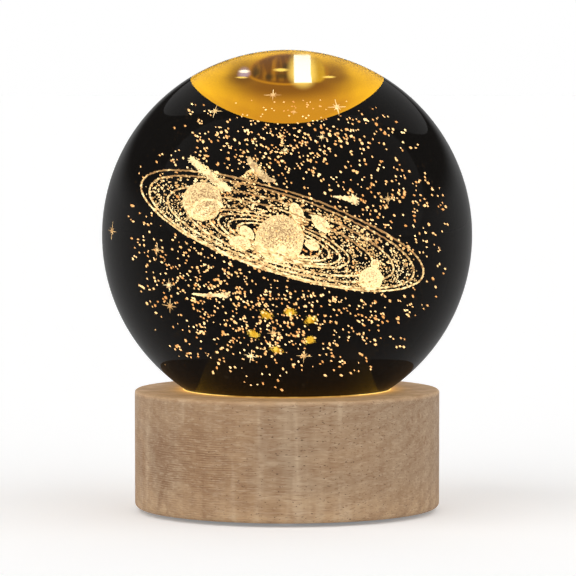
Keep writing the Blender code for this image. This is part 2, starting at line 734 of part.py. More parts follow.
def build_lamp():
    parts = new_collection("crystal_ball_lamp")
    cutters = new_collection("cutters")
    root = add_pivot("lamp_root", (0, 0, 0), parts)
    ball_pivot = add_pivot("ball_lift_axis", (0, 0, ball_centre), parts)
    button_pivot = add_pivot("button_press_axis", (button_x, button_tip, port_axis_height), parts)

    glass = new_material("crystal_glass", GLASS_COLOUR, roughness=0.0, transmission=1.0)
    wood = new_material("turned_wood", WOOD_COLOUR, roughness=0.55)
    board_white = new_material("white_board", BOARD_WHITE, roughness=0.35)
    board_green = new_material("green_board", BOARD_GREEN, roughness=0.35)
    package_white = new_material("led_package_white", PACKAGE_WHITE, roughness=0.4)
    phosphor = new_material("led_phosphor_yellow", PHOSPHOR_YELLOW, roughness=0.5)
    ceramic = new_material("resistor_black", CERAMIC_BLACK, roughness=0.3)
    steel = new_material("plated_steel", STEEL_COLOUR, roughness=0.3, metallic=1.0)
    black = new_material("black_plastic", PLASTIC_BLACK, roughness=0.4)
    ivory = new_material("plunger_ivory", PLUNGER_IVORY, roughness=0.4)
    grey = new_material("button_grey", BUTTON_GREY, roughness=0.45)
    cover_grey = new_material("cover_plastic", COVER_GREY, roughness=0.55)
    wire_red = new_material("wire_red", WIRE_RED, roughness=0.45)
    wire_black = new_material("wire_black", PLASTIC_BLACK, roughness=0.45)
    foam = new_material("pad_rubber", PAD_BLACK, roughness=0.85)

    make_crystal_ball(parts, ball_pivot, glass)
    make_wooden_base(parts, cutters, root, wood)
    make_led_board(parts, root, board_white)
    make_leds(parts, cutters, root, package_white, phosphor)
    make_resistors(parts, root, ceramic)
    make_port_board(parts, root, board_green)
    make_usb_socket(parts, cutters, root, steel, black)
    make_switch(parts, cutters, root, button_pivot, black, ivory)
    make_button(parts, cutters, button_pivot, grey)
    make_wires(parts, root, wire_red, wire_black)
    make_bottom_cover(parts, cutters, root, cover_grey)
    make_foot_pads(parts, root, foam)
    make_screws(parts, cutters, root, steel)


for leftover in list(bpy.data.objects):
    bpy.data.objects.remove(leftover)
build_lamp()
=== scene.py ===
"""The crystal ball lamp's finish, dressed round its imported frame. Metres, +Z up, the front faces -Y."""

import random
from math import asin, atan2, cos, pi, radians, sin, sqrt, tan

import bmesh
import bpy
from mathutils import Matrix, Vector, noise


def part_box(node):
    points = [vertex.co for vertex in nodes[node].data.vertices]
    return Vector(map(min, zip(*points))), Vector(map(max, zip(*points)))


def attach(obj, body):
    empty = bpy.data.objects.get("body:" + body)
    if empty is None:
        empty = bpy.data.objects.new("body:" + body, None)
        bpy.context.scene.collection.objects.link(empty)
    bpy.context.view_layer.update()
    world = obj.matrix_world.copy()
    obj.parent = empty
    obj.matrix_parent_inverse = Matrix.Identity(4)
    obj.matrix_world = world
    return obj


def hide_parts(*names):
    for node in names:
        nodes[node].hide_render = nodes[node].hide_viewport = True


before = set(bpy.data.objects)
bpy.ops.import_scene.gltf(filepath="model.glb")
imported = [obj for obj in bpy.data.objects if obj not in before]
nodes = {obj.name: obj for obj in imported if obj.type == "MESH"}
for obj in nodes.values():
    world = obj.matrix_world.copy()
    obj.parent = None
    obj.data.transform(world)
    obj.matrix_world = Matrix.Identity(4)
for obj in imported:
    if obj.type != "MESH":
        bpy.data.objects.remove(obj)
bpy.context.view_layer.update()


# Camera. A long lens, a little above the lamp and looking slightly down on it, which keeps the wood's
# sides upright.
CAMERA_DISTANCE = 0.770
CAMERA_HEIGHT = 0.091
CAMERA_AIM_HEIGHT = 0.0482
CAMERA_AIM_X = 0.0002
FIELD_OF_VIEW = radians(9.246)
FRAME_PIXELS = 576

camera_data = bpy.data.cameras.new("camera")
camera_data.sensor_width = 36.0
camera_data.angle = FIELD_OF_VIEW
camera_data.clip_start = 0.01
camera_data.clip_end = 200.0
camera = bpy.data.objects.new("camera", camera_data)
bpy.context.scene.collection.objects.link(camera)
camera.location = (CAMERA_AIM_X, -CAMERA_DISTANCE, CAMERA_HEIGHT)
aim = Vector((CAMERA_AIM_X, 0.0, CAMERA_AIM_HEIGHT)) - camera.location
camera.rotation_euler = aim.to_track_quat("-Z", "Y").to_euler()
bpy.context.scene.camera = camera
bpy.context.view_layer.update()
bpy.context.scene.view_settings.view_transform = "Standard"


# Studio. One pale floor, wide soft lamps above the front and the sides, and a dim room above a low ring of
# white card, so that the glass stays dark inside and keeps a clean edge against the card behind it.
FLOOR_RADIUS = 60.0
FLOOR_COLOUR = (0.95, 0.95, 0.95)
FLOOR_GLEAM = 0.22
ROOM_COLOUR = (0.040, 0.036, 0.034)
CARD_COLOUR = (1.0, 1.0, 1.0)
CARD_FULL_ANGLE = radians(6.5)
CARD_END_ANGLE = radians(17)
LAMPS = (
    ("key_lamp", (-1.05, -0.76, 0.85), 1.62, radians(75)),
    ("fill_lamp", (1.12, -0.68, 0.80), 1.36, radians(80)),
    ("back_lamp", (0.1, 0.9, 1.3), 0.9, radians(80)),
)


def new_mesh_object(name, bm):
    mesh = bpy.data.meshes.new(name)
    bm.to_mesh(mesh)
    bm.free()
    obj = bpy.data.objects.new(name, mesh)
    bpy.context.scene.collection.objects.link(obj)
    return obj


class Finish:
    """A material with one Principled shader, and the few steps that this lamp's finishes are built from."""

    def __init__(self, name, colour, roughness, **sockets):
        self.material = bpy.data.materials.new(name)
        self.material.use_nodes = True
        self.tree = self.material.node_tree
        self.shader = self.tree.nodes["Principled BSDF"]
        self.set("Base Color", (*colour, 1.0))
        self.set("Roughness", roughness)
        for socket, value in sockets.items():
            self.set(socket.replace("_", " "), value)
        self.place = self.add("ShaderNodeTexCoord").outputs["Object"]

    def add(self, kind, inputs=None, **settings):
        node = self.tree.nodes.new(kind)
        for setting, value in settings.items():
            setattr(node, setting, value)
        for socket, value in (inputs or {}).items():
            self.feed(node.inputs[socket], value)
        return node

    def feed(self, socket, value):
        if isinstance(value, bpy.types.NodeSocket):
            self.tree.links.new(value, socket)
        else:
            socket.default_value = value

    def set(self, socket, value):
        self.feed(self.shader.inputs[socket], value)

    def along(self, axis):
        """The object coordinate along X, Y or Z."""
        return self.add("ShaderNodeSeparateXYZ", {"Vector": self.place}).outputs[axis]

    def out_from_axis(self):
        """How far a point lies from the lamp's upright axis."""
        flat = self.add("ShaderNodeVectorMath", {0: self.place, 1: (1.0, 1.0, 0.0)}, operation="MULTIPLY")
        length = self.add("ShaderNodeVectorMath", {0: flat.outputs["Vector"]}, operation="LENGTH")
        return length.outputs["Value"]

    def stretched(self, scale, turn=(0.0, 0.0, 0.0), shift=(0.0, 0.0, 0.0)):
        """Object coordinates, scaled, turned and shifted for one pattern."""
        inputs = {"Vector": self.place, "Scale": scale, "Rotation": turn, "Location": shift}
        return self.add("ShaderNodeMapping", inputs).outputs["Vector"]

    def speckle(self, vector, scale, detail=3.0, roughness=0.5, distortion=0.0):
        inputs = {"Vector": vector, "Scale": scale, "Detail": detail, "Roughness": roughness}
        inputs["Distortion"] = distortion
        return self.add("ShaderNodeTexNoise", inputs).outputs["Fac"]

    def between(self, value, low, high, to_low=0.0, to_high=1.0, smooth=False):
        inputs = {"Value": value, "From Min": low, "From Max": high, "To Min": to_low, "To Max": to_high}
        kind = "SMOOTHSTEP" if smooth else "LINEAR"
        return self.add("ShaderNodeMapRange", inputs, interpolation_type=kind).outputs["Result"]

    def sum(self, operation, first, second=0.0):
        return self.add("ShaderNodeMath", {0: first, 1: second}, operation=operation).outputs["Value"]

    def blend(self, share, first, second):
        """The second colour laid over the first, by a share from 0 to 1."""
        node = self.add("ShaderNodeMix", data_type="RGBA", clamp_factor=True)
        self.feed(node.inputs["Factor"], share)
        self.feed(node.inputs[6], (*first, 1.0) if isinstance(first, tuple) else first)
        self.feed(node.inputs[7], (*second, 1.0) if isinstance(second, tuple) else second)
        return node.outputs[2]

    def spot(self, middle, half, soft, turn=0.0):
        """A share that is 1 inside an upright ellipse, seen from the front or the back, and 0 outside it."""
        shift = {0: self.place, 1: (middle[0], 0.0, middle[1])}
        centred = self.add("ShaderNodeVectorMath", shift, operation="SUBTRACT")
        inputs = {"Vector": centred.outputs["Vector"], "Rotation": (0.0, turn, 0.0)}
        upright = self.add("ShaderNodeMapping", inputs).outputs["Vector"]
        scaled = {0: upright, 1: (1 / half[0], 0.0, 1 / half[1])}
        flat = self.add("ShaderNodeVectorMath", scaled, operation="MULTIPLY").outputs["Vector"]
        distance = self.add("ShaderNodeVectorMath", {0: flat}, operation="LENGTH").outputs["Value"]
        return self.between(distance, 1 + soft, 1 - soft, smooth=True)

    def bump(self, height, distance, strength=1.0):
        inputs = {"Height": height, "Distance": distance, "Strength": strength}
        self.set("Normal", self.add("ShaderNodeBump", inputs).outputs["Normal"])


floor_bm = bmesh.new()
bmesh.ops.create_circle(floor_bm, cap_ends=True, segments=96, radius=FLOOR_RADIUS)
floor = new_mesh_object("floor", floor_bm)
floor_finish = Finish("floor_paper", FLOOR_COLOUR, 0.9, Specular_IOR_Level=0.0)
ray = floor_finish.add("ShaderNodeLightPath").outputs
seen_ray = floor_finish.sum("MAXIMUM", ray["Is Camera Ray"], ray["Is Glossy Ray"])
seen_ray = floor_finish.sum("MAXIMUM", seen_ray, ray["Is Transmission Ray"])
floor_finish.set("Emission Color", (1.0, 1.0, 1.0, 1.0))
floor_finish.set("Emission Strength", floor_finish.sum("MULTIPLY", seen_ray, FLOOR_GLEAM))
floor.data.materials.append(floor_finish.material)

for name, place, strength, spread in LAMPS:
    lamp_data = bpy.data.lights.new(name, "SUN")
    lamp_data.energy = strength
    lamp_data.angle = spread
    lamp = bpy.data.objects.new(name, lamp_data)
    bpy.context.scene.collection.objects.link(lamp)
    lamp.rotation_euler = Vector(place).to_track_quat("Z", "Y").to_euler()

room = bpy.data.worlds.new("room")
room.use_nodes = True
bpy.context.scene.world = room
room_nodes = room.node_tree.nodes
room_links = room.node_tree.links
room_shader = room_nodes["Background"]
room_direction = room_nodes.new("ShaderNodeSeparateXYZ")
room_links.new(room_nodes.new("ShaderNodeTexCoord").outputs["Generated"], room_direction.inputs["Vector"])
card_share = room_nodes.new("ShaderNodeMapRange")
card_share.interpolation_type = "SMOOTHSTEP"
card_share.inputs["From Min"].default_value = sin(CARD_FULL_ANGLE)
card_share.inputs["From Max"].default_value = sin(CARD_END_ANGLE)
card_share.inputs["To Min"].default_value = 1.0
card_share.inputs["To Max"].default_value = 0.0
room_links.new(room_direction.outputs["Z"], card_share.inputs["Value"])
card_colour = room_nodes.new("ShaderNodeMix")
card_colour.data_type = "RGBA"
room_links.new(card_share.outputs["Result"], card_colour.inputs["Factor"])
card_colour.inputs[6].default_value = (*ROOM_COLOUR, 1.0)
card_colour.inputs[7].default_value = (*CARD_COLOUR, 1.0)
room_links.new(card_colour.outputs[2], room_shader.inputs["Color"])
room_shader.inputs["Strength"].default_value = 1.0


# Wooden base. One block of pale hardwood, turned between centres with the grain lying across it, sanded
# and left almost matt, then milled flat at the back for the socket and the button.
WOOD_SEGMENTS = 216
WOOD_TOP_ROUND = 0.0006
WOOD_FOOT_ROUND = 0.0011
WOOD_EDGE_STEPS = 6
WOOD_SEAT_STEPS = 6
FIT_GAP = 0.0003
BOARD_CLEARANCE = 0.0005
WEB_HOLE_RADIUS = 0.0130
WEB_THICKNESS = 0.0025
COVER_LEDGE = 0.0050
NOTCH_HALF_WIDTH = 0.0105
NOTCH_INSET = 0.0005
FLAT_PAST_SOCKET = 0.0002
FLAT_HEIGHT = 0.0080
BUTTON_HOLE_RADIUS = 0.0028
CUT_PAST = 0.004
ON_MIDDLE_LINE = 1e-7
SHARP_EDGE = radians(35)
WOOD_TAN = (0.440, 0.285, 0.162)
WOOD_GREY = (0.420, 0.298, 0.190)
WOOD_WARM = (0.590, 0.395, 0.225)
WOOD_PALE = (0.640, 0.490, 0.335)
WOOD_BROWN = (0.225, 0.112, 0.052)
WOOD_PORE = (0.085, 0.038, 0.020)
RIPPLE_PERIOD = 0.00048
RING_SPACING = 0.0034
RIPPLED_PATCH = ((-0.0205, 0.0118), (0.0125, 0.0085))
BROWN_PATCH = ((-0.0262, 0.0150), (0.0022, 0.0042))
LEANING_STREAK = ((-0.0265, 0.0062), (0.0004, 0.0048))
LEANING_STREAK_TURN = -0.215
SEAT_GLOW = (1.0, 0.50, 0.10)
TOP_GLOW = (0.155, 0.100, 0.050)

base_low, base_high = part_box("wooden_base")
board_low, board_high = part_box("led_board")
cover_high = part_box("bottom_cover")[1]
socket_low, socket_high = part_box("usb_shell")
button_low, button_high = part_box("button_cap")
ball_low, ball_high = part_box("crystal_ball")
base_radius = base_high.x
ball_radius = (ball_high.z - ball_low.z) / 2
ball_centre = (ball_high + ball_low) / 2
seat_radius = ball_radius + FIT_GAP
mouth_radius = sqrt(seat_radius**2 - (ball_centre.z - base_high.z) ** 2)
chamber_radius = board_high.x + BOARD_CLEARANCE
shelf_height = board_low.z - FIT_GAP
rebate_radius = cover_high.x + FIT_GAP
shoulder_height = cover_high.z + FIT_GAP
pocket_radius = rebate_radius - COVER_LEDGE
ceiling_height = shelf_height - WEB_THICKNESS
notch_back = sqrt(rebate_radius**2 - NOTCH_HALF_WIDTH**2) - NOTCH_INSET
flat_face = socket_high.y + FLAT_PAST_SOCKET
port_height = (socket_low.z + socket_high.z) / 2


def arc(x, z, radius, start, end, steps):
    """Points of a profile round a centre, from one angle to another."""
    turns = [start + (end - start) * step / steps for step in range(steps + 1)]
    return [(x + radius * cos(turn), z + radius * sin(turn)) for turn in turns]


def spin_round(bm, geom, steps):
    """Sweeps corners and edges once round the upright axis."""
    bmesh.ops.spin(bm, geom=geom, cent=(0, 0, 0), axis=(0, 0, 1), angle=2 * pi, steps=steps, use_merge=True)


def spin_profile(bm, profile, segments, closed):
    """Turns a profile of (radius, height) points round the lamp's axis into a surface."""
    corners = [bm.verts.new((radius, 0.0, height)) for radius, height in profile]
    ends = corners[1:] + corners[:1] if closed else corners[1:]
    edges = [bm.edges.new(pair) for pair in zip(corners, ends)]
    spin_round(bm, corners + edges, segments)
    bmesh.ops.remove_doubles(bm, verts=bm.verts, dist=0.000005)
    bmesh.ops.recalc_face_normals(bm, faces=bm.faces)


def cut_away(target, cutter):
    boolean = target.modifiers.new(cutter.name, "BOOLEAN")
    boolean.operation = "DIFFERENCE"
    boolean.solver = "EXACT"
    boolean.object = cutter
    bpy.context.view_layer.update()
    cut = bpy.data.meshes.new_from_object(target.evaluated_get(bpy.context.evaluated_depsgraph_get()))
    target.modifiers.clear()
    target.data = cut
    bpy.data.objects.remove(cutter)


def block_between(name, low, high):
    bm = bmesh.new()
    bmesh.ops.create_cube(bm, size=1.0)
    bmesh.ops.scale(bm, vec=Vector(high) - Vector(low), verts=bm.verts)
    bmesh.ops.translate(bm, vec=(Vector(high) + Vector(low)) / 2, verts=bm.verts)
    return new_mesh_object(name, bm)


def smooth_round(obj):
    obj.data.shade_smooth()
    obj.data.set_sharp_from_angle(angle=SHARP_EDGE)


top_middle = (base_radius - WOOD_TOP_ROUND, base_high.z - WOOD_TOP_ROUND)
foot_middle = (base_radius - WOOD_FOOT_ROUND, base_low.z + WOOD_FOOT_ROUND)
top_edge = arc(*top_middle, WOOD_TOP_ROUND, pi / 2, 0, WOOD_EDGE_STEPS)
foot_edge = arc(*foot_middle, WOOD_FOOT_ROUND, 0, -pi / 2, WOOD_EDGE_STEPS)
hollows = [
    (rebate_radius, base_low.z),
    (rebate_radius, shoulder_height),
    (pocket_radius, shoulder_height),
    (pocket_radius, ceiling_height),
    (WEB_HOLE_RADIUS, ceiling_height),
    (WEB_HOLE_RADIUS, shelf_height),
    (chamber_radius, shelf_height),
]
seat_start = asin(chamber_radius / seat_radius) - pi / 2
seat_end = asin(mouth_radius / seat_radius) - pi / 2
seat = arc(0.0, ball_centre.z, seat_radius, seat_start, seat_end, WOOD_SEAT_STEPS)
wood_bm = bmesh.new()
spin_profile(wood_bm, top_edge + foot_edge + hollows + seat, WOOD_SEGMENTS, closed=True)
wooden_base = new_mesh_object("turned_base", wood_bm)
notch_corners = ((-NOTCH_HALF_WIDTH, 0.0, 0.0), (NOTCH_HALF_WIDTH, notch_back, ceiling_height))
cut_away(wooden_base, block_between("cut_notch", *notch_corners))
flat_low = (-base_radius, flat_face, port_height - FLAT_HEIGHT / 2)
flat_high = (base_radius, base_radius + CUT_PAST, port_height + FLAT_HEIGHT / 2)
cut_away(wooden_base, block_between("cut_flat", flat_low, flat_high))

wall_cut_start = notch_back - CUT_PAST
wall_cut_depth = base_radius + CUT_PAST - notch_back + CUT_PAST
lie_backwards = Matrix.Rotation(-pi / 2, 3, "X")
slot_bm = bmesh.new()
slot_radius = (socket_high.z - socket_low.z) / 2 + FIT_GAP
slot_reach = (socket_high.x - socket_low.x) / 2 + FIT_GAP - slot_radius
bmesh.ops.create_circle(slot_bm, cap_ends=True, segments=32, radius=slot_radius)
for corner in slot_bm.verts:
    if abs(corner.co.x) > ON_MIDDLE_LINE:
        corner.co.x += slot_reach if corner.co.x > 0 else -slot_reach
slot_push = bmesh.ops.extrude_face_region(slot_bm, geom=slot_bm.faces[:])
slot_moved = [part for part in slot_push["geom"] if isinstance(part, bmesh.types.BMVert)]
bmesh.ops.translate(slot_bm, vec=(0, 0, wall_cut_depth), verts=slot_moved)
bmesh.ops.rotate(slot_bm, cent=(0, 0, 0), matrix=lie_backwards, verts=slot_bm.verts)
slot_place = ((socket_low.x + socket_high.x) / 2, wall_cut_start, port_height)
bmesh.ops.translate(slot_bm, vec=slot_place, verts=slot_bm.verts)
bmesh.ops.recalc_face_normals(slot_bm, faces=slot_bm.faces)
cut_away(wooden_base, new_mesh_object("cut_socket_slot", slot_bm))

hole_bm = bmesh.new()
hole_round = {"radius1": BUTTON_HOLE_RADIUS, "radius2": BUTTON_HOLE_RADIUS}
bmesh.ops.create_cone(hole_bm, cap_ends=True, segments=40, depth=wall_cut_depth, **hole_round)
bmesh.ops.rotate(hole_bm, cent=(0, 0, 0), matrix=lie_backwards, verts=hole_bm.verts)
button_x = (button_low.x + button_high.x) / 2
hole_place = (button_x, wall_cut_start + wall_cut_depth / 2, port_height)
bmesh.ops.translate(hole_bm, vec=hole_place, verts=hole_bm.verts)
cut_away(wooden_base, new_mesh_object("cut_button_hole", hole_bm))
smooth_round(wooden_base)

wood = Finish("turned_wood", WOOD_TAN, 0.62, Specular_IOR_Level=0.22)
across, up = wood.along("X"), wood.along("Z")
long_grain = wood.speckle(wood.stretched((60, 240, 330)), 1.0, 4.0, 0.55, 0.4)
growth = wood.speckle(wood.stretched((42, 60, 34), turn=(0.1, 0.3, 0.0)), 1.0, 3.0, 0.55, 0.8)
tall_bands = wood.speckle(wood.stretched((230, 230, 26), shift=(1.7, 0.0, 0.4)), 1.0, 3.0, 0.55, 0.3)
patches = wood.speckle(wood.stretched((95, 95, 60), shift=(4.2, 1.0, 2.0)), 1.0, 3.0, 0.6, 0.6)
fleck = wood.speckle(wood.stretched((480, 1200, 2600)), 1.0, 2.0, 0.65)
pale_fleck = wood.speckle(wood.stretched((330, 900, 2400), shift=(9.0, 2.0, 5.0)), 1.0, 2.0, 0.6)
ripple = wood.add(
    "ShaderNodeTexWave",
    {
        "Vector": wood.place,
        "Scale": 2 * pi / (20 * RIPPLE_PERIOD),
        "Distortion": 4.0,
        "Detail": 2.0,
        "Detail Scale": 0.3,
    },
    bands_direction="Z",
).outputs["Fac"]
rings = wood.add(
    "ShaderNodeTexWave",
    {
        "Vector": wood.stretched((0.10, 1.0, 1.0), shift=(0.0, -0.030, 0.062)),
        "Scale": 2 * pi / (20 * RING_SPACING),
        "Distortion": 7.0,
        "Detail": 3.0,
        "Detail Scale": 0.5,
    },
    wave_type="RINGS",
    rings_direction="X",
).outputs["Fac"]
ripple_breaks = wood.between(wood.speckle(wood.stretched((330, 330, 900)), 1.0, 2.0), 0.36, 0.60)
left_side = wood.sum("MULTIPLY", wood.between(across, 0.0, -0.024), 0.4)
ripple_zone = wood.sum("MAXIMUM", wood.spot(*RIPPLED_PATCH, 0.55), left_side)
streaks = wood.speckle(wood.stretched((420, 1400, 1700), turn=(0.0, -0.22, 0.0)), 1.0, 2.0, 0.5)
streak_zone = wood.between(across, 0.0215, 0.0290, 0.0, 1.0, smooth=True)
pores = wood.speckle(wood.stretched((1250, 2600, 3300), shift=(3.0, 7.0, 1.0)), 1.0, 1.0, 0.5)
pore_tails = wood.speckle(wood.stretched((420, 2600, 3300), shift=(8.0, 1.0, 4.0)), 1.0, 1.0, 0.5)
fewer_left = wood.between(across, -0.030, 0.007, 0.25, 1.0, smooth=True)
fewer_far_right = wood.between(across, 0.030, 0.019, 0.45, 1.0)
pore_zone = wood.sum("MULTIPLY", fewer_left, fewer_far_right)
brown_patch = wood.sum("MULTIPLY", wood.spot(*BROWN_PATCH, 0.75), 0.42)
leaning_streak = wood.sum("MULTIPLY", wood.spot(*LEANING_STREAK, 0.7, LEANING_STREAK_TURN), 0.50)
ripple_share = wood.sum("MULTIPLY", wood.sum("MULTIPLY", ripple_zone, ripple_breaks), 0.62)
ripple_mask = wood.sum("MULTIPLY", wood.between(ripple, 0.30, 0.75), ripple_share)
streak_mask = wood.sum("MULTIPLY", wood.between(streaks, 0.55, 0.68, 0.0, 0.5), streak_zone)
tail_mask = wood.sum("MULTIPLY", wood.between(pore_tails, 0.60, 0.72, 0.0, 0.50), pore_zone)
pore_mask = wood.sum("MULTIPLY", wood.between(pores, 0.685, 0.735, 0.0, 0.90), pore_zone)
toned = wood.blend(wood.between(growth, 0.38, 0.62), WOOD_TAN, WOOD_GREY)
for share, colour in (
    (wood.between(across, 0.004, 0.026, 0.0, 0.75, smooth=True), WOOD_GREY),
    (wood.between(up, base_low.z + 0.010, base_low.z, 0.0, 0.65, smooth=True), WOOD_WARM),
    (wood.between(rings, 0.45, 0.95, 0.0, 0.20), WOOD_BROWN),
    (wood.between(tall_bands, 0.50, 0.72, 0.0, 0.40), WOOD_BROWN),
    (wood.between(tall_bands, 0.46, 0.30, 0.0, 0.55), WOOD_PALE),
    (wood.between(patches, 0.54, 0.76, 0.0, 0.50), WOOD_BROWN),
    (brown_patch, WOOD_BROWN),
    (leaning_streak, WOOD_BROWN),
    (wood.between(long_grain, 0.44, 0.78, 0.0, 0.26), WOOD_BROWN),
    (wood.between(pale_fleck, 0.50, 0.70, 0.0, 0.38), WOOD_PALE),
    (ripple_mask, WOOD_BROWN),
    (wood.between(fleck, 0.48, 0.72, 0.0, 0.30), WOOD_BROWN),
    (streak_mask, WOOD_BROWN),
    (tail_mask, WOOD_BROWN),
    (pore_mask, WOOD_PORE),
):
    toned = wood.blend(share, toned, colour)
wood.set("Base Color", toned)
wood.set("Roughness", wood.between(long_grain, 0.3, 0.7, 0.55, 0.72))
grooves = wood.sum("ADD", wood.sum("MULTIPLY", fleck, -0.5), wood.sum("MULTIPLY", ripple_mask, -0.8))
grooves = wood.sum("SUBTRACT", grooves, pore_mask)
wood.bump(grooves, 0.00006, 0.7)
# Painted light: the wood glows warm at the seat round the ball and faintly over its whole top face, standing
# in for light from the LEDs that leaks round the ball.
near_seat = wood.between(wood.out_from_axis(), mouth_radius, base_radius, 1.0, 0.0)
close_glow = wood.sum("MULTIPLY", wood.sum("POWER", near_seat, 6.0), 0.55)
on_top = wood.between(up, base_high.z - 0.0012, base_high.z - 0.0001, smooth=True)
lit_top = wood.blend(on_top, (0.0, 0.0, 0.0), TOP_GLOW)
down_the_seat = wood.between(up, base_high.z - 0.0040, base_high.z - 0.0002, smooth=True)
seat_share = wood.sum("MULTIPLY", close_glow, down_the_seat)
wood.set("Emission Color", wood.blend(seat_share, lit_top, SEAT_GLOW))
wood.set("Emission Strength", 1.0)
wooden_base.data.materials.clear()
wooden_base.data.materials.append(wood.material)
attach(wooden_base, "base")
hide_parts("wooden_base")


# Light board. A round board with a white mask carries six LEDs in a ring, each a white package with a disc
# of yellow phosphor in its dish, and three glazed resistors. Three plated screws hold it on its shelf.
BOARD_WHITE = (0.78, 0.77, 0.73)
BOARD_TRACK = (0.66, 0.67, 0.60)
BOARD_TRACK_HALF_WIDTH = 0.0006
PACKAGE_WHITE = (0.84, 0.83, 0.79)
PHOSPHOR_YELLOW = (0.90, 0.62, 0.08)
PHOSPHOR_LIGHT = (1.0, 0.60, 0.16)
PHOSPHOR_STRENGTH = 5.0
RESISTOR_BLACK = (0.015, 0.015, 0.018)
STEEL = (0.60, 0.60, 0.62)


def dress(finish, *name_starts):
    """Gives the finish to each carried-over node whose name starts in one of these ways."""
    for name, node in nodes.items():
        if name.startswith(name_starts):
            for material_slot in node.material_slots:
                material_slot.material = finish.material


def grained(name, colour, roughness, grain, depth, shade=0.12):
    """A moulded, cast or coated finish: its colour and gloss drift a little, and it has a fine grain."""
    finish = Finish(name, colour, roughness)
    drift = finish.speckle(finish.place, grain / 8, 3.0)
    deep = tuple(part * (1 - shade) for part in colour)
    pale = tuple(min(part * (1 + shade), 1.0) for part in colour)
    finish.toned = finish.blend(finish.between(drift, 0.3, 0.7), deep, pale)
    finish.set("Base Color", finish.toned)
    finish.set("Roughness", finish.between(drift, 0.25, 0.75, roughness - 0.06, roughness + 0.08))
    finish.bump(finish.speckle(finish.place, grain, 2.0, 0.6), depth, 0.7)
    return finish


def brushed(name, colour, roughness, along):
    """Plated metal with fine brushing, which runs along the axis where the pattern is stretched."""
    metal = Finish(name, colour, roughness, Metallic=1.0)
    strokes = metal.speckle(metal.stretched(along), 1.0, 3.0, 0.6)
    metal.set("Roughness", metal.between(strokes, 0.3, 0.7, roughness - 0.08, roughness + 0.10))
    metal.bump(strokes, 0.000012, 0.6)
    return metal


board = grained("white_board_mask", BOARD_WHITE, 0.35, 2400.0, 0.000015, 0.03)
ring_low, ring_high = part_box("led_package_1")
led_ring_radius = Vector(((ring_low.x + ring_high.x) / 2, (ring_low.y + ring_high.y) / 2)).length
from_track = board.sum("ABSOLUTE", board.sum("SUBTRACT", board.out_from_axis(), led_ring_radius))
track = board.between(from_track, BOARD_TRACK_HALF_WIDTH * 1.2, BOARD_TRACK_HALF_WIDTH, smooth=True)
board.set("Base Color", board.blend(track, board.toned, BOARD_TRACK))
# The screws' names start like the board's, so they get their plating after it.
dress(board, "led_board")
dress(grained("led_package_resin", PACKAGE_WHITE, 0.40, 5200.0, 0.00001, 0.04), "led_package")
phosphor = grained("phosphor_resin", PHOSPHOR_YELLOW, 0.50, 9000.0, 0.00001, 0.10)
phosphor.set("Emission Color", (*PHOSPHOR_LIGHT, 1.0))
phosphor.set("Emission Strength", PHOSPHOR_STRENGTH)
dress(phosphor, "led_phosphor")
dress(grained("glazed_resistor", RESISTOR_BLACK, 0.30, 5200.0, 0.00001), "resistor")
plated = brushed("plated_screws", STEEL, 0.30, (2600, 2600, 500))
dress(plated, "led_board_screw", "port_board_screw", "cover_screw")


# Socket, switch and wiring. The socket and the push switch sit on a small green board in the lower hollow and
# reach out through the milled flat at the back. A red and a black wire run from there up to the light board.
MASK_GREEN = (0.03, 0.16, 0.08)
MASK_TRACK = (0.06, 0.26, 0.13)
BLACK_PLASTIC = (0.02, 0.02, 0.022)
PLUNGER_IVORY = (0.72, 0.66, 0.50)
BUTTON_GREY = (0.16, 0.16, 0.17)
WIRE_RED = (0.55, 0.03, 0.02)
WIRE_BLACK = (0.02, 0.02, 0.022)

port_mask = grained("green_board_mask", MASK_GREEN, 0.35, 2400.0, 0.000015, 0.08)
tracks = port_mask.add("ShaderNodeTexWave", {"Vector": port_mask.place, "Scale": 260.0, "Distortion": 1.5})
track_share = port_mask.between(tracks.outputs["Fac"], 0.80, 0.88)
port_mask.set("Base Color", port_mask.blend(track_share, port_mask.toned, MASK_TRACK))
for material_slot in nodes["port_board"].material_slots:
    material_slot.material = port_mask.material
dress(brushed("socket_shell", STEEL, 0.28, (2400, 300, 2400)), "usb_shell")
dress(grained("socket_insulator", BLACK_PLASTIC, 0.42, 5200.0, 0.00001), "usb_insulator")
dress(grained("switch_housing", BLACK_PLASTIC, 0.40, 4200.0, 0.000012), "switch_housing")
dress(grained("switch_plunger", PLUNGER_IVORY, 0.40, 4200.0, 0.00001, 0.05), "switch_plunger")
dress(grained("button_cap", BUTTON_GREY, 0.45, 5600.0, 0.00002), "button_cap")
dress(grained("red_insulation", WIRE_RED, 0.38, 3200.0, 0.00001, 0.08), "wire_positive")
dress(grained("black_insulation", WIRE_BLACK, 0.38, 3200.0, 0.00001, 0.08), "wire_negative")


# Underside. A round moulded cover with a fine leathery texture closes the hollow, held by three countersunk
# screws, and the lamp stands on four self-adhesive foam pads.
COVER_GREY = (0.045, 0.045, 0.05)
PAD_BLACK = (0.03, 0.03, 0.03)

cover = grained("cover_moulding", COVER_GREY, 0.55, 1500.0, 0.00004)
dress(cover, "bottom_cover")
foam = grained("pad_foam", PAD_BLACK, 0.85, 2200.0, 0.00003)
cells = foam.add("ShaderNodeTexVoronoi", {"Vector": foam.place, "Scale": 2600.0}).outputs["Distance"]
foam.bump(cells, 0.00006, 0.8)
dress(foam, "foot_pad")


# Crystal ball. Smoky optical glass, ground and polished to a true sphere, with nothing on its surface. It
# rests loose in the seat, and what is engraved in it shows through the share of the glass that is clear.
BALL_CUTS = 7
GLASS_TINT = 0.0085
GLASS_WARMTH = (1.12, 1.0, 0.90)
GLASS_INDEX = 1.5
GLASS_CLEAR_SHARE = 0.22
GLASS_FACE_GLOSS = 0.05
seen_through_glass = sqrt(GLASS_TINT) * GLASS_CLEAR_SHARE

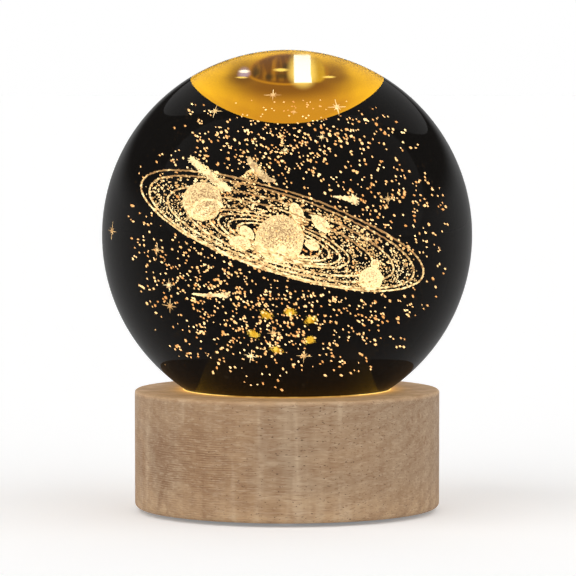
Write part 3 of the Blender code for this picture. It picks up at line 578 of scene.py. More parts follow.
ball_bm = bmesh.new()
bmesh.ops.create_icosphere(ball_bm, subdivisions=BALL_CUTS, radius=ball_radius)
bmesh.ops.translate(ball_bm, vec=ball_centre, verts=ball_bm.verts)
polished_ball = new_mesh_object("polished_ball", ball_bm)
polished_ball.data.shade_smooth()
glass = Finish(
    "crystal_glass",
    tuple(GLASS_TINT * part for part in GLASS_WARMTH),
    0.0,
    IOR=GLASS_INDEX,
    Transmission_Weight=GLASS_CLEAR_SHARE,
    Specular_IOR_Level=0.0,
    Specular_Tint=(GLASS_FACE_GLOSS, GLASS_FACE_GLOSS, GLASS_FACE_GLOSS, 1.0),
)
polished_ball.data.materials.append(glass.material)
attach(polished_ball, "ball")
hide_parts("crystal_ball")


def in_the_glass(column, row, toward_camera=0.0, plane=None):
    """The point inside the ball that shows at this pixel of the photograph, on an upright plane this far in
    front of the ball's middle, or on another plane, given as a point and a normal."""
    reach = 2 * tan(FIELD_OF_VIEW / 2) / FRAME_PIXELS
    half = FRAME_PIXELS / 2
    ray = camera.matrix_world.to_3x3() @ Vector(((column - half) * reach, (half - row) * reach, -1.0))
    ray.normalize()
    to_ball = camera.matrix_world.translation - ball_centre
    along = to_ball.dot(ray)
    entry = to_ball - ray * (along + sqrt(along**2 - to_ball.length_squared + ball_radius**2))
    outward = entry.normalized()
    slant = -outward.dot(ray)
    bent = ray / GLASS_INDEX + outward * (slant / GLASS_INDEX - sqrt(1 - (1 - slant**2) / GLASS_INDEX**2))
    point, normal = plane or (ball_centre + Vector((0, -toward_camera, 0)), Vector((0, 1, 0)))
    start = ball_centre + entry
    return start + bent * ((point - start).dot(normal) / bent.dot(normal))


# Pool of light. High in the glass hangs the golden image of the lit recess under the ball, with the nearest
# LED in it as a white bar. It is painted light: a glowing lens just under the glass, with painted shading
# round its oval, dark panes, a halo and glints, and it shows from every side.
POOL_SHELL_GAP = 0.0003
POOL_BOWL_RADIUS = 0.01945
POOL_BOWL_HEIGHT = 0.0366
POOL_STEPS = 44
POOL_SEGMENTS = 216
POOL_YELLOW = (1.16, 0.64, 0.012)
POOL_ORANGE = (0.62, 0.275, 0.012)
POOL_BROWN = (0.185, 0.063, 0.002)
POOL_UMBER = (0.10, 0.032, 0.001)
POOL_RIM = (0.52, 0.215, 0.004)
POOL_AMBER = (0.180, 0.064, 0.0005)
POOL_HONEY = (0.66, 0.37, 0.012)
POOL_OLIVE = (0.050, 0.030, 0.002)
BAR_WHITE = (1.6, 1.45, 1.1)
BAR_HALO = (1.2, 0.85, 0.16)
GLINT_BLUE = (0.55, 0.42, 0.52)
ORANGE_PATCH = ((0.0004, 0.0250), (0.0125, 0.0105))
STRIPED_PATCH = ((-0.0028, 0.0350), (0.0048, 0.0032))
YELLOW_FROM = 0.0370
YELLOW_FULL = 0.0388
BAR_MIDDLE = (0.0032, 0.0349)
BAR_HALF_WIDTHS = (0.0019, 0.0016)
BAR_HALF_HEIGHTS = (0.0040, 0.0034)
ROUND_THE_OVAL = (
    ((-0.0002, 0.0322), (0.0130, 0.0062), 0.45, 0.85, POOL_BROWN),
    ((-0.0095, 0.0338), (0.0026, 0.0030), 0.60, 0.6, POOL_UMBER),
    ((0.0102, 0.0340), (0.0024, 0.0028), 0.60, 0.6, POOL_BROWN),
)
OVAL = (
    ((0.0002, 0.0346), (0.0084, 0.0043), 0.07, 1.0, POOL_RIM),
    ((0.0002, 0.0348), (0.0079, 0.0038), 0.09, 1.0, POOL_AMBER),
    ((0.0060, 0.0347), (0.0020, 0.0034), 0.20, 0.9, POOL_HONEY),
)
PANES_AND_HALO = (
    ((-0.0064, 0.0348), (0.0009, 0.0014), 0.75, 0.80, POOL_OLIVE),
    ((-0.0037, 0.0333), (0.0008, 0.0012), 0.75, 0.80, POOL_OLIVE),
    ((-0.0011, 0.0336), (0.0012, 0.0011), 0.75, 0.80, POOL_OLIVE),
    ((0.0000, 0.0361), (0.0010, 0.0008), 0.75, 0.80, POOL_OLIVE),
    ((0.0032, 0.0347), (0.0027, 0.0048), 0.35, 0.8, BAR_HALO),
)
GLINTS = (
    ((-0.0013, 0.0354), (0.0013, 0.0003), 0.6, 1.0, BAR_HALO),
    ((0.0086, 0.0332), (0.0011, 0.0004), 0.6, 1.0, BAR_HALO),
    ((-0.0090, 0.0344), (0.0011, 0.0013), 0.6, 0.75, GLINT_BLUE),
    ((-0.0090, 0.0351), (0.0009, 0.00028), 0.7, 1.0, BAR_WHITE),
    ((-0.0093, 0.0330), (0.0010, 0.0003), 0.7, 1.0, BAR_HALO),
)


class Glow(Finish):
    """A finish that gives light, as bright as its colours once it is seen through the glass."""

    def __init__(self, name, colour, strength):
        super().__init__(name, (0.0, 0.0, 0.0), 1.0, Specular_IOR_Level=0.0)
        self.set("Emission Color", (*colour, 1.0))
        self.set("Emission Strength", strength)
        self.material.cycles.emission_sampling = "NONE"

    def spot_in_ball(self, middle, half, soft, share=1.0):
        """The same ellipse, given from the ball's middle."""
        inside = self.spot((middle[0], ball_centre.z + middle[1]), half, soft)
        return self.sum("MULTIPLY", inside, share)

    def lay_patches(self, under, patches):
        """Soft ellipses laid over a colour, each by its middle, half sizes, softness, share and colour."""
        for middle, half, soft, share, colour in patches:
            under = self.blend(self.spot_in_ball(middle, half, soft, share), under, colour)
        return under


def keep_light_inside(obj):
    """The glow shows to the eye and in the glass, and throws no light on the wood or the floor."""
    obj.visible_diffuse = False
    obj.visible_shadow = False


pool_shell_radius = ball_radius - POOL_SHELL_GAP
pool_rim_height = (
    pool_shell_radius**2 - POOL_BOWL_RADIUS**2 + POOL_BOWL_HEIGHT**2
) / (2 * POOL_BOWL_HEIGHT)
pool_rim_radius = sqrt(pool_shell_radius**2 - pool_rim_height**2)
bowl_middle = ball_centre.z + POOL_BOWL_HEIGHT
bowl_end = atan2(pool_rim_height - POOL_BOWL_HEIGHT, pool_rim_radius)
shell_start = atan2(pool_rim_height, pool_rim_radius)
pool_bowl = arc(0.0, bowl_middle, POOL_BOWL_RADIUS, -pi / 2, bowl_end, POOL_STEPS)
pool_shell = arc(0.0, ball_centre.z, pool_shell_radius, shell_start, pi / 2, POOL_STEPS)
pool_bm = bmesh.new()
spin_profile(pool_bm, pool_bowl + pool_shell[1:], POOL_SEGMENTS, closed=False)
light_pool = new_mesh_object("light_pool", pool_bm)
smooth_round(light_pool)
pool = Glow("pool_gold", POOL_ORANGE, 1.0 / seen_through_glass)
pool_drift = pool.speckle(pool.stretched((110, 110, 50)), 1.0, 3.0)
orange_share = pool.spot_in_ball(*ORANGE_PATCH, 0.50)
orange_share = pool.sum("ADD", orange_share, pool.between(pool_drift, 0.3, 0.7, -0.15, 0.25))
gold = pool.lay_patches(pool.blend(orange_share, POOL_YELLOW, POOL_ORANGE), ROUND_THE_OVAL)
yellow_low, yellow_high = ball_centre.z + YELLOW_FROM, ball_centre.z + YELLOW_FULL
over_oval = pool.between(pool.along("Z"), yellow_low, yellow_high, smooth=True)
gold = pool.lay_patches(pool.blend(over_oval, gold, POOL_YELLOW), OVAL)
stripes = pool.speckle(pool.stretched((900, 0, 190), shift=(2.0, 0.0, 5.0)), 1.0, 1.0, 0.4)
stripe_share = pool.between(stripes, 0.42, 0.64, 0.0, 0.65)
striped = pool.sum("MULTIPLY", stripe_share, pool.spot_in_ball(*STRIPED_PATCH, 0.3))
gold = pool.lay_patches(pool.blend(striped, gold, POOL_RIM), PANES_AND_HALO)
beside_bar = pool.sum("ABSOLUTE", pool.sum("SUBTRACT", pool.along("X"), BAR_MIDDLE[0]))
above_bar = pool.sum("ABSOLUTE", pool.sum("SUBTRACT", pool.along("Z"), ball_centre.z + BAR_MIDDLE[1]))
in_bar = pool.sum(
    "MULTIPLY",
    pool.between(beside_bar, *BAR_HALF_WIDTHS, smooth=True),
    pool.between(above_bar, *BAR_HALF_HEIGHTS, smooth=True),
)
gold = pool.lay_patches(pool.blend(in_bar, gold, BAR_WHITE), GLINTS)
pool.set("Emission Color", gold)
light_pool.data.materials.append(pool.material)
keep_light_inside(light_pool)
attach(light_pool, "ball")


# Engraving. A laser burns thousands of tiny white cracks inside the glass, and light from below fills them.
# The figure is a sun with its planets on eight tilted orbits, among dust, comets and stars.
FROST_DIM = (0.76, 0.44, 0.16)
FROST_CREAM = (1.18, 0.83, 0.37)
FROST_BRIGHT = (1.55, 1.26, 0.70)
LINE_DIM = (0.46, 0.26, 0.10)
ORBIT_RADII = (0.0214, 0.02005, 0.0171, 0.0142, 0.0105, 0.00915, 0.0076, 0.0062)
ORBIT_MIDDLE = Vector((-0.00127, 0.0, -0.0008))
ORBIT_ROLL = radians(17.6)
ORBIT_TILT = radians(13.6)
ORBIT_LINE_RADIUS = 0.000135
ORBIT_STEPS = 420
ORBIT_THINNER_BEHIND = 0.30
ORBIT_WANDER = (0.00010, 240.0)
ORBIT_GRAIN = (0.00011, 2600.0)
ROUGHEN_SEED = 1
FADE_FROM = 0.003
FADE_FULL = 0.020
BATCH_CORNERS = 700

orbit_turn = Matrix.Rotation(ORBIT_ROLL, 3, "Y") @ Matrix.Rotation(ORBIT_TILT, 3, "X")
orbit_centre = ball_centre + ORBIT_MIDDLE
orbit_plane = (orbit_centre, orbit_turn @ Vector((0, 0, 1)))


def on_the_orbits(radius, angle, height=0.0):
    return orbit_centre + orbit_turn @ Vector((radius * cos(angle), radius * sin(angle), height))


def frosted(name, dim, cream, bright, scale, low=0.36, high=0.64, lit_below=0.0, fade_behind=0.0):
    """The burnt glass, brighter and dimmer from one crack to the next. A round body is painted brighter
    below, as if lit from beneath, and brighter round its rim, and what lies far back fades."""
    frost = Glow(name, cream, 1.0 / seen_through_glass)
    share = frost.speckle(frost.place, scale, 2.0, 0.6)
    if lit_below:
        normal = frost.add("ShaderNodeNewGeometry").outputs["Normal"]
        facing = frost.add("ShaderNodeSeparateXYZ", {"Vector": normal}).outputs
        share = frost.sum("ADD", share, frost.between(facing["Z"], 0.3, -0.7, -0.02, lit_below))
        broadside = frost.sum("ABSOLUTE", facing["Y"])
        share = frost.sum("ADD", share, frost.between(broadside, 0.98, 0.55, -0.06, 0.05))
    if fade_behind:
        faded = frost.between(frost.along("Y"), FADE_FROM, FADE_FULL, 0.0, fade_behind)
        share = frost.sum("SUBTRACT", share, faded)
    shade = frost.blend(frost.between(share, low, 0.5), dim, cream)
    frost.set("Emission Color", frost.blend(frost.between(share, 0.5, high), shade, bright))
    return frost


def engrave(name, bm, finish):
    piece = new_mesh_object(name, bm)
    piece.data.materials.append(finish.material)
    keep_light_inside(piece)
    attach(piece, "ball")


def add_dot(bm, place, size, stretch=1.0, along=(1, 0, 0)):
    """One burnt dot, which may be drawn out along a direction."""
    turn = Vector(along).to_track_quat("X", "Z").to_matrix().to_4x4()
    shape = Matrix.Diagonal((size * stretch, size, size, 1.0))
    stand = Matrix.Translation(place) @ turn @ shape
    bmesh.ops.create_icosphere(bm, subdivisions=1, radius=1.0, matrix=stand)


class DotCloud:
    """Burnt dots for one piece, made in small batches, which are quicker to add to than a large mesh."""

    def __init__(self):
        self.all_dots = bmesh.new()
        self.batch = bmesh.new()

    def add(self, place, size, stretch=1.0, along=(1, 0, 0)):
        add_dot(self.batch, place, size, stretch, along)
        if len(self.batch.verts) > BATCH_CORNERS:
            self.gather()

    def gather(self):
        shared = bpy.data.meshes.new("batch")
        self.batch.to_mesh(shared)
        self.all_dots.from_mesh(shared)
        self.batch.clear()
        bpy.data.meshes.remove(shared)
        return self.all_dots


# Without a seed this noise, and with it every orbit and planet, would differ from run to run.
noise.seed_set(ROUGHEN_SEED)


def roughen(verts, reach, scale):
    for vert in verts:
        vert.co += noise.noise_vector(vert.co * scale) * reach


dust_frost = frosted("frosted_dust", FROST_DIM, FROST_CREAM, FROST_BRIGHT, 420.0, fade_behind=0.10)
line_frost = frosted("frosted_lines", LINE_DIM, FROST_CREAM, FROST_BRIGHT, 900.0, fade_behind=0.22)

for number, radius in enumerate(ORBIT_RADII, 1):
    orbit_bm = bmesh.new()
    section_place = Matrix.Translation((radius, 0, 0)) @ Matrix.Rotation(pi / 2, 4, "X")
    section = bmesh.ops.create_circle(orbit_bm, segments=6, radius=ORBIT_LINE_RADIUS, matrix=section_place)
    spin_round(orbit_bm, section["verts"] + orbit_bm.edges[:], ORBIT_STEPS)
    for vert in orbit_bm.verts:
        outward = Vector((vert.co.x, vert.co.y, 0)).normalized()
        vert.co = outward * radius + (vert.co - outward * radius) * (1.0 - ORBIT_THINNER_BEHIND * outward.y)
    bmesh.ops.rotate(orbit_bm, cent=(0, 0, 0), matrix=orbit_turn, verts=orbit_bm.verts)
    bmesh.ops.translate(orbit_bm, vec=orbit_centre, verts=orbit_bm.verts)
    roughen(orbit_bm.verts, *ORBIT_WANDER)
    roughen(orbit_bm.verts, *ORBIT_GRAIN)
    bmesh.ops.recalc_face_normals(orbit_bm, faces=orbit_bm.faces)
    engrave(f"orbit_{number}", orbit_bm, line_frost)


# Dust belts. Between the orbits lie thin belts of burnt dots, each drawn out along its orbit. A belt has its
# inner and outer radius and its number of dots.
DOT_SEED = 5
BELT_THICKNESS = 0.00022
BELT_DOT_RADII = (0.000065, 0.000125)
BELT_DOT_STRETCH = (1.0, 2.2)
BELTS = (
    (0.0203, 0.0212, 60),
    (0.0174, 0.0198, 900),
    (0.0146, 0.0168, 720),
    (0.0110, 0.0138, 640),
    (0.0095, 0.0102, 110),
    (0.0079, 0.0088, 90),
    (0.0065, 0.0073, 60),
)
chance = random.Random(DOT_SEED)
for number, (inner, outer, count) in enumerate(BELTS, 1):
    belt = DotCloud()
    for _ in range(count):
        angle = chance.uniform(0, 2 * pi)
        place = on_the_orbits(chance.uniform(inner, outer), angle, chance.gauss(0, BELT_THICKNESS))
        forward = orbit_turn @ Vector((-sin(angle), cos(angle), 0))
        belt.add(place, chance.uniform(*BELT_DOT_RADII), chance.uniform(*BELT_DOT_STRETCH), forward)
    engrave(f"dust_belt_{number}", belt.gather(), dust_frost)


# Star dust. Dots are scattered through the glass, clear of the orbits and of the pool of light, and lie
# thicker in three clouds and in front of the pool. Clouds are given by columns, rows and number of dots.
DUST_COUNT = 1750
DUST_CROWDS = (0, 0, 0, 1, 2)
DUST_CROWD_SPREAD = 0.0006
DUST_DOT_RADII = (0.00007, 0.00018, 0.00011)
DUST_DOT_STRETCH = 1.7
DUST_LEAN_ACROSS = (0.35, 0.9)
DUST_LEAN_DOWN = (-1.2, -0.2)
DUST_REACH = Vector((0.0240, 0.0225, 0.0232))
DUST_CLEARANCE = 0.0019
DUST_FLOOR = 0.0205
DUST_DIM = (1.02, 0.47, 0.14)
DUST_CREAM = (1.50, 0.88, 0.36)
DUST_BRIGHT = (1.90, 1.38, 0.68)
THICK_DUST = (
    ((285, 34), (141, 13), 150),
    ((262, 36), (322, 24), 190),
    ((185, 22), (268, 20), 70),
)
THICK_DUST_DEPTHS = (0.002, 0.011)
THICK_DUST_DOT_RADII = (0.00007, 0.00017, 0.00011)
POOL_DUST_COUNT = 48
POOL_DUST_COLUMNS = (295, 30)
POOL_DUST_ROWS = (100, 122)
POOL_DUST_DEPTH = 0.0172
POOL_DUST_DOT_RADII = (0.00010, 0.00016)
POOL_DUST_DOT_STRETCH = 1.3


def dust_lean():
    """A dot leans down to the right, some more than others."""
    return (chance.uniform(*DUST_LEAN_ACROSS), 0, chance.uniform(*DUST_LEAN_DOWN))


def in_the_pool(place):
    """Whether a place lies in the bowl of the pool of light, or close to it."""
    return (place - Vector((0, 0, bowl_middle))).length < POOL_BOWL_RADIUS + POOL_SHELL_GAP


star_frost = frosted("frosted_stars", DUST_DIM, DUST_CREAM, DUST_BRIGHT, 420.0, fade_behind=0.10)
star_dust = DotCloud()
placed = 0
while placed < DUST_COUNT:
    direction = Vector([chance.uniform(-1, 1) for _ in range(3)])
    if direction.length > 1:
        continue
    place = ball_centre + direction * DUST_REACH
    level = (place - orbit_centre).dot(orbit_plane[1])
    from_orbit_middle = sqrt(max((place - orbit_centre).length_squared - level**2, 0.0))
    if abs(level) < DUST_CLEARANCE and from_orbit_middle < ORBIT_RADII[0] + DUST_CLEARANCE:
        continue
    if in_the_pool(place) or place.z < ball_centre.z - DUST_FLOOR:
        continue
    crowd = chance.choice(DUST_CROWDS)
    steps_aside = [Vector((0, 0, 0))]
    steps_aside += [Vector([chance.gauss(0, DUST_CROWD_SPREAD) for _ in range(3)]) for _ in range(crowd)]
    for step_aside in steps_aside:
        lean = dust_lean()
        star_dust.add(place + step_aside, chance.triangular(*DUST_DOT_RADII), DUST_DOT_STRETCH, lean)
        placed += 1
for columns, rows, count in THICK_DUST:
    for _ in range(count):
        column, row = chance.gauss(*columns), chance.gauss(*rows)
        place = in_the_glass(column, row, chance.uniform(*THICK_DUST_DEPTHS))
        lean = dust_lean()
        if not in_the_pool(place):
            star_dust.add(place, chance.triangular(*THICK_DUST_DOT_RADII), DUST_DOT_STRETCH, lean)
for _ in range(POOL_DUST_COUNT):
    column, row = chance.gauss(*POOL_DUST_COLUMNS), chance.uniform(*POOL_DUST_ROWS)
    place = in_the_glass(column, row, POOL_DUST_DEPTH)
    star_dust.add(place, chance.uniform(*POOL_DUST_DOT_RADII), POOL_DUST_DOT_STRETCH)
engrave("star_dust", star_dust.gather(), star_frost)


# Sun and planets. They are round or oval patches of close cracks, the sun in the middle and the planets on
# their orbits. A planet has its own pixel, the pixel that sets its depth, its half width in pixels, how it is
# squeezed and turned, and how finely it is cut. Small bodies look paler than the two large ones.
LARGE_BODY_CUTS = 6
BODY_WANDER = 0.05
BODY_GRAIN = (0.00009, 3500.0)
SUN_PIXEL = (279.7, 239)
SUN_HALF_WIDTH = 24
PLANETS = (
    ("great_planet", (202.5, 201.5), (204, 200), 19.2, (1, 1, 1), 0.0, LARGE_BODY_CUTS),
    ("right_planet", (371, 279), (371, 279), 11.5, (1, 1, 1), 0.0, 5),
    ("right_moon", (375, 264), (375, 264), 4.5, (1, 1, 1), 0.0, 4),
    ("inner_planet_1", (247, 233), (247, 233), 6.2, (1.45, 1, 0.85), radians(45), 4),
    ("inner_planet_2", (240, 243.5), (240, 243), 9.0, (1.2, 1, 0.78), radians(12), 4),
    ("inner_planet_3", (297, 213), (297, 213), 6.5, (0.9, 1, 1.7), radians(-25), 4),
    ("inner_planet_4", (321, 224), (321, 224), 6.5, (0.9, 1, 1.8), radians(-48), 4),
    ("inner_planet_5", (312, 245), (312, 245), 6.0, (1.3, 1, 0.8), radians(25), 4),
)
FAR_PLANET_PIXEL = (251, 177)
FAR_PLANET_DEPTH_PIXEL = (251, 176)
FAR_PLANET_HALF_WIDTH = 6.5
FAR_PLANET_DOTS = 150
FAR_PLANET_DOT_RADII = (0.00005, 0.00009)


def glass_scale(column, row, toward_camera):
    """How many metres inside the glass one pixel covers here."""
    return (in_the_glass(column + 1, row, toward_camera) - in_the_glass(column, row, toward_camera)).length


def depth_on_orbits(column, row):
    """How far in front of the ball's middle the orbits' plane lies where this pixel meets it."""
    return ball_centre.y - in_the_glass(column, row, plane=orbit_plane).y


BODY_DIM = (0.40, 0.235, 0.115)
BODY_CREAM = (0.90, 0.66, 0.33)
BODY_BRIGHT = (1.60, 1.25, 0.62)
SMALL_BODY_DIM = (0.74, 0.50, 0.24)
SMALL_BODY_CREAM = (1.25, 1.00, 0.54)
body_frost = frosted("frosted_bodies", BODY_DIM, BODY_CREAM, BODY_BRIGHT, 4600.0, 0.36, 0.72, lit_below=0.07)
small_frost = frosted(
    "frosted_small_bodies", SMALL_BODY_DIM, SMALL_BODY_CREAM, BODY_BRIGHT, 4600.0, 0.34, 0.68, lit_below=0.10
)


def engrave_body(name, column, row, pixels, toward_camera, squeeze, turn, cuts):
    """A round body, a little ragged, as large in the glass as it looks in the photograph."""
    place = in_the_glass(column, row, toward_camera)
    size = pixels * glass_scale(column, row, toward_camera)
    body_bm = bmesh.new()
    bmesh.ops.create_icosphere(body_bm, subdivisions=cuts, radius=1.0)
    bmesh.ops.scale(body_bm, vec=Vector(squeeze) * size, verts=body_bm.verts)
    bmesh.ops.rotate(body_bm, cent=(0, 0, 0), matrix=Matrix.Rotation(turn, 3, "Y"), verts=body_bm.verts)
    bmesh.ops.translate(body_bm, vec=place, verts=body_bm.verts)
    roughen(body_bm.verts, size * BODY_WANDER, 3.0 / size)
    roughen(body_bm.verts, *BODY_GRAIN)
    engrave(name, body_bm, body_frost if cuts == LARGE_BODY_CUTS else small_frost)


engrave_body("sun", *SUN_PIXEL, SUN_HALF_WIDTH, 0.0, (1, 1, 1), 0.0, LARGE_BODY_CUTS)
for name, pixel, depth_pixel, half_width, squeeze, turn, cuts in PLANETS:
    engrave_body(name, *pixel, half_width, depth_on_orbits(*depth_pixel), squeeze, turn, cuts)

far_planet = DotCloud()
far_planet_depth = depth_on_orbits(*FAR_PLANET_DEPTH_PIXEL)
far_planet_size = FAR_PLANET_HALF_WIDTH * glass_scale(*FAR_PLANET_DEPTH_PIXEL, far_planet_depth)
for _ in range(FAR_PLANET_DOTS):
    outward = Vector([chance.gauss(0, 1) for _ in range(3)]).normalized()
    place = in_the_glass(*FAR_PLANET_PIXEL, far_planet_depth) + outward * far_planet_size
    far_planet.add(place, chance.uniform(*FAR_PLANET_DOT_RADII))
engrave("far_planet", far_planet.gather(), dust_frost)


# Comets. Each is a cloud of fine dots drawn out along its tail, given as columns, rows and half widths in
# pixels. The second lies further back and is dimmer.
COMET_DOTS_PER_PIXEL = 24
COMET_SPREAD = 0.36
COMET_DOT_RADII = (0.00005, 0.00010)
COMET_DOT_STRETCH = (1.0, 2.4)


def engrave_comet(name, spine, toward_camera, finish):
    """A cloud of dots along a run of pixels, each given with half the comet's width there."""
    comet = DotCloud()
    metres = glass_scale(*spine[0][:2], toward_camera)
    for (column, row, half), (next_column, next_row, next_half) in zip(spine, spine[1:]):
        start = in_the_glass(column, row, toward_camera)
        end = in_the_glass(next_column, next_row, toward_camera)
        for _ in range(round((end - start).length / metres * COMET_DOTS_PER_PIXEL)):
            along = chance.random()
            spread = (half + (next_half - half) * along) * metres
            aside = Vector([chance.gauss(0, COMET_SPREAD) for _ in range(3)])
            place = start.lerp(end, along) + aside * spread
            size = chance.uniform(*COMET_DOT_RADII)
            comet.add(place, size, chance.uniform(*COMET_DOT_STRETCH), end - start)
    engrave(name, comet.gather(), finish)


COMET_SPINES = (
    ((191, 159, 4.2), (198, 165, 4.6), (210, 175, 6.4), (220, 184, 6.0), (230, 190, 2.6)),
    ((249, 158, 1.4), (251, 163, 4.2), (259, 171.5, 5.0), (266, 179, 4.4), (275, 180.5, 1.0)),
    ((334, 196.5, 0.5), (344, 198, 2.2), (352, 199.5, 4.2), (357, 201.5, 5.4)),
    ((193, 294, 0.8), (206, 295, 1.5), (220, 295.5, 2.2), (227, 295, 4.6)),
)
COMET_DEPTHS = (0.004, -0.004, 0.002, 0.003)
bright_comet = frosted("frosted_comets", SMALL_BODY_DIM, SMALL_BODY_CREAM, BODY_BRIGHT, 900.0, 0.34, 0.62)
dim_comet = frosted("frosted_far_comet", BODY_DIM, BODY_CREAM, SMALL_BODY_CREAM, 900.0, 0.34, 0.66)
comet_finishes = (bright_comet, dim_comet, bright_comet, bright_comet)
for number, (spine, depth, finish) in enumerate(zip(COMET_SPINES, COMET_DEPTHS, comet_finishes), 1):
    engrave_comet(f"comet_{number}", spine, depth, finish)


# Highlights. A bright arc crosses the face of the great planet, and a bright flare lies low on the sun. Both
# are clouds of dots just in front of the body, placed by pixels.
ARC_MIDDLE = (208, 212.5)
ARC_HALF = (16.0, 13)
ARC_START = 28
ARC_STEP = 2.0
ARC_DOTS = 80
ARC_DOT_RADII = (0.00013, 0.00018)
ARC_IN_FRONT = 0.0046
FLARE_COLUMNS = (282, 4.6)
FLARE_ROWS = (251, 4.6)
FLARE_LOWEST_ROW = 258
FLARE_DOTS = 250
FLARE_DOT_RADII = (0.00007, 0.00012)
FLARE_IN_FRONT = 0.0052
highlight_frost = frosted("frosted_highlights", BODY_CREAM, BODY_BRIGHT, BODY_BRIGHT, 1400.0)
great_planet_depth_pixel = PLANETS[0][2]
arc_depth = depth_on_orbits(*great_planet_depth_pixel) + ARC_IN_FRONT
planet_arc = DotCloud()
for step in range(ARC_DOTS):
    bend = radians(ARC_START + step * ARC_STEP)
    column, row = ARC_MIDDLE[0] + ARC_HALF[0] * cos(bend), ARC_MIDDLE[1] - ARC_HALF[1] * sin(bend)
    place = in_the_glass(column, row, arc_depth)
    planet_arc.add(place, chance.uniform(*ARC_DOT_RADII), 1.6, (sin(bend), 0, cos(bend)))
engrave("planet_arc", planet_arc.gather(), highlight_frost)

sun_flare = DotCloud()
for _ in range(FLARE_DOTS):
    column, row = chance.gauss(*FLARE_COLUMNS), min(chance.gauss(*FLARE_ROWS), FLARE_LOWEST_ROW)
    place = in_the_glass(column, row, FLARE_IN_FRONT)
    sun_flare.add(place, chance.uniform(*FLARE_DOT_RADII), 1.4, (1, 0, chance.uniform(-1, 1)))
engrave("sun_flare", sun_flare.gather(), highlight_frost)


# Spiked stars. Each is a small knot with eight thin spikes in the plane that faces the front and two more to
# the front and the back. A star has its column, row, spike in pixels and depth.
STAR_KNOT = 0.22
SPIKE_FOOT = 0.085
SPIKE_TIP = 0.02
SHORT_SPIKE = 0.55
SPIKED_STARS = (
    (273, 95, 8.5, 0.0185),
    (337, 107, 9.5, 0.0170),
    (215, 111, 7.0, 0.0120),
    (169, 285, 6.0, 0.002),
    (170, 306, 7.5, 0.006),
    (157, 250, 6.0, -0.003),
    (273, 333, 7.0, 0.008),
    (251, 356, 7.0, 0.004),
    (304, 356, 7.0, 0.006),
    (367, 239, 6.0, 0.007),
    (388, 199, 6.0, -0.002),
    (294, 112, 4.0, 0.0172),
    (285, 150, 5.0, 0.010),
    (322, 137, 5.0, -0.002),
    (112, 231, 4.5, 0.0),
)


def add_spike(bm, star_place, turn, arm, reach):
    """One spike of a star: a thin cone that starts at the star's middle."""
    stand = Matrix.Translation(star_place) @ turn @ Matrix.Translation((0, 0, reach / 2))
    widths = {"radius1": arm * SPIKE_FOOT, "radius2": arm * SPIKE_TIP}
    bmesh.ops.create_cone(bm, cap_ends=True, segments=5, depth=reach, matrix=stand, **widths)


spiked_bm = bmesh.new()
for column, row, pixels, toward_camera in SPIKED_STARS:
    place = in_the_glass(column, row, toward_camera)
    arm = pixels * glass_scale(column, row, toward_camera)
    add_dot(spiked_bm, place, arm * STAR_KNOT)
    lean = chance.uniform(-0.2, 0.2)
    for arm_number in range(8):
        reach = arm * (1.0 if arm_number % 2 == 0 else SHORT_SPIKE) * chance.uniform(0.8, 1.1)
        add_spike(spiked_bm, place, Matrix.Rotation(lean + arm_number * pi / 4, 4, "Y"), arm, reach)
    for depth_turn in (pi / 2, -pi / 2):
        add_spike(spiked_bm, place, Matrix.Rotation(depth_turn, 4, "X"), arm, arm)
engrave("spiked_stars", spiked_bm, dust_frost)
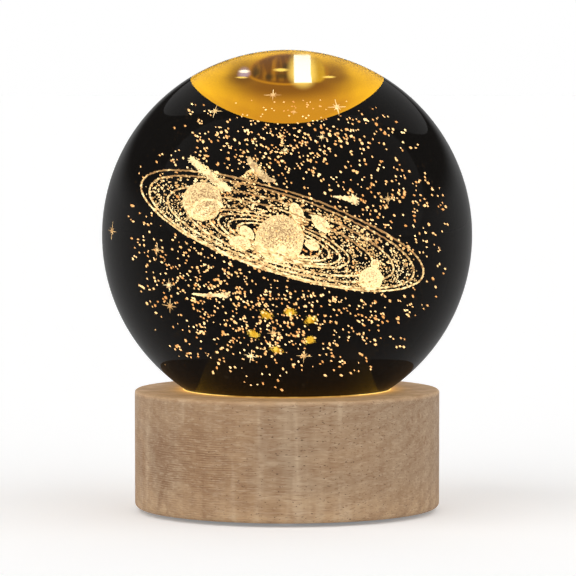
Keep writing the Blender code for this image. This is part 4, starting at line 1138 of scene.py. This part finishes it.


# Images of the LEDs. Six small amber patches low in the glass, painted images of the ring of LEDs where it
# shows in the glass, each a cloud of glowing dots. Those lower in the view lie nearer the front.
AMBER_DIM = (0.58, 0.27, 0.006)
AMBER = (0.85, 0.50, 0.03)
AMBER_BRIGHT = (1.1, 0.80, 0.12)
LED_IMAGES = ((266, 315), (290, 312), (311, 320), (254, 334), (310, 340), (277, 350))
LED_IMAGE_MIDDLE_ROW = 331
LED_IMAGE_FORWARD_PER_ROW = 0.00016
LED_IMAGE_PIXELS = 4.6
LED_IMAGE_DOTS = 300
LED_IMAGE_SPREAD = 0.32
LED_IMAGE_WIDENED = 0.7
LED_DOT_LEAST = 0.00005
LED_DOT_MORE_INSIDE = 0.00009
led_images = DotCloud()
for column, row in LED_IMAGES:
    toward_camera = (row - LED_IMAGE_MIDDLE_ROW) * LED_IMAGE_FORWARD_PER_ROW
    place = in_the_glass(column, row, toward_camera)
    size = LED_IMAGE_PIXELS * glass_scale(column, row, toward_camera)
    lean = Vector((1, 0, chance.uniform(-0.5, 0.5))).normalized()
    for _ in range(LED_IMAGE_DOTS):
        aside = Vector([chance.gauss(0, LED_IMAGE_SPREAD) for _ in range(3)])
        aside += lean * aside.dot(lean) * LED_IMAGE_WIDENED
        dot_radius = LED_DOT_LEAST + LED_DOT_MORE_INSIDE * max(0.0, 1 - aside.length)
        led_images.add(place + aside * size, dot_radius, 1.3, lean)
amber = frosted("amber_images", AMBER_DIM, AMBER, AMBER_BRIGHT, 1100.0)
engrave("led_images", led_images.gather(), amber)


# Glow at the seat. A hair line of light leaks out between the ball and the rim of the wood, painted as a thin
# glowing ring, brighter towards the left and right ends than in front. It belongs to the base and stays there
# when the ball is lifted.
GLOW_LINE_RADIUS = 0.00009
GLOW_LINE_INSET = 0.00015
GLOW_LINE_LIFT = 0.00008
GLOW_LINE_STEPS = 240
GLOW_LINE_DIM = (0.42, 0.20, 0.035)
GLOW_LINE = (1.5, 0.95, 0.25)
glow_line_bm = bmesh.new()
glow_centre = Matrix.Translation((mouth_radius - GLOW_LINE_INSET, 0, base_high.z + GLOW_LINE_LIFT))
glow_line_place = glow_centre @ Matrix.Rotation(pi / 2, 4, "X")
bmesh.ops.create_circle(glow_line_bm, segments=8, radius=GLOW_LINE_RADIUS, matrix=glow_line_place)
spin_round(glow_line_bm, glow_line_bm.verts[:] + glow_line_bm.edges[:], GLOW_LINE_STEPS)
bmesh.ops.recalc_face_normals(glow_line_bm, faces=glow_line_bm.faces)
seat_glow = new_mesh_object("seat_glow", glow_line_bm)
glow_line = Glow("seat_glow", GLOW_LINE, 1.0)
from_middle = glow_line.sum("ABSOLUTE", glow_line.along("X"))
toward_side = glow_line.between(from_middle, 0.010, 0.0175, smooth=True)
flicker = glow_line.between(glow_line.speckle(glow_line.place, 420.0), 0.40, 0.70, -0.15, 0.45)
bright_share = glow_line.sum("ADD", toward_side, flicker)
glow_line.set("Emission Color", glow_line.blend(bright_share, GLOW_LINE_DIM, GLOW_LINE))
seat_glow.data.materials.append(glow_line.material)
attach(seat_glow, "base")
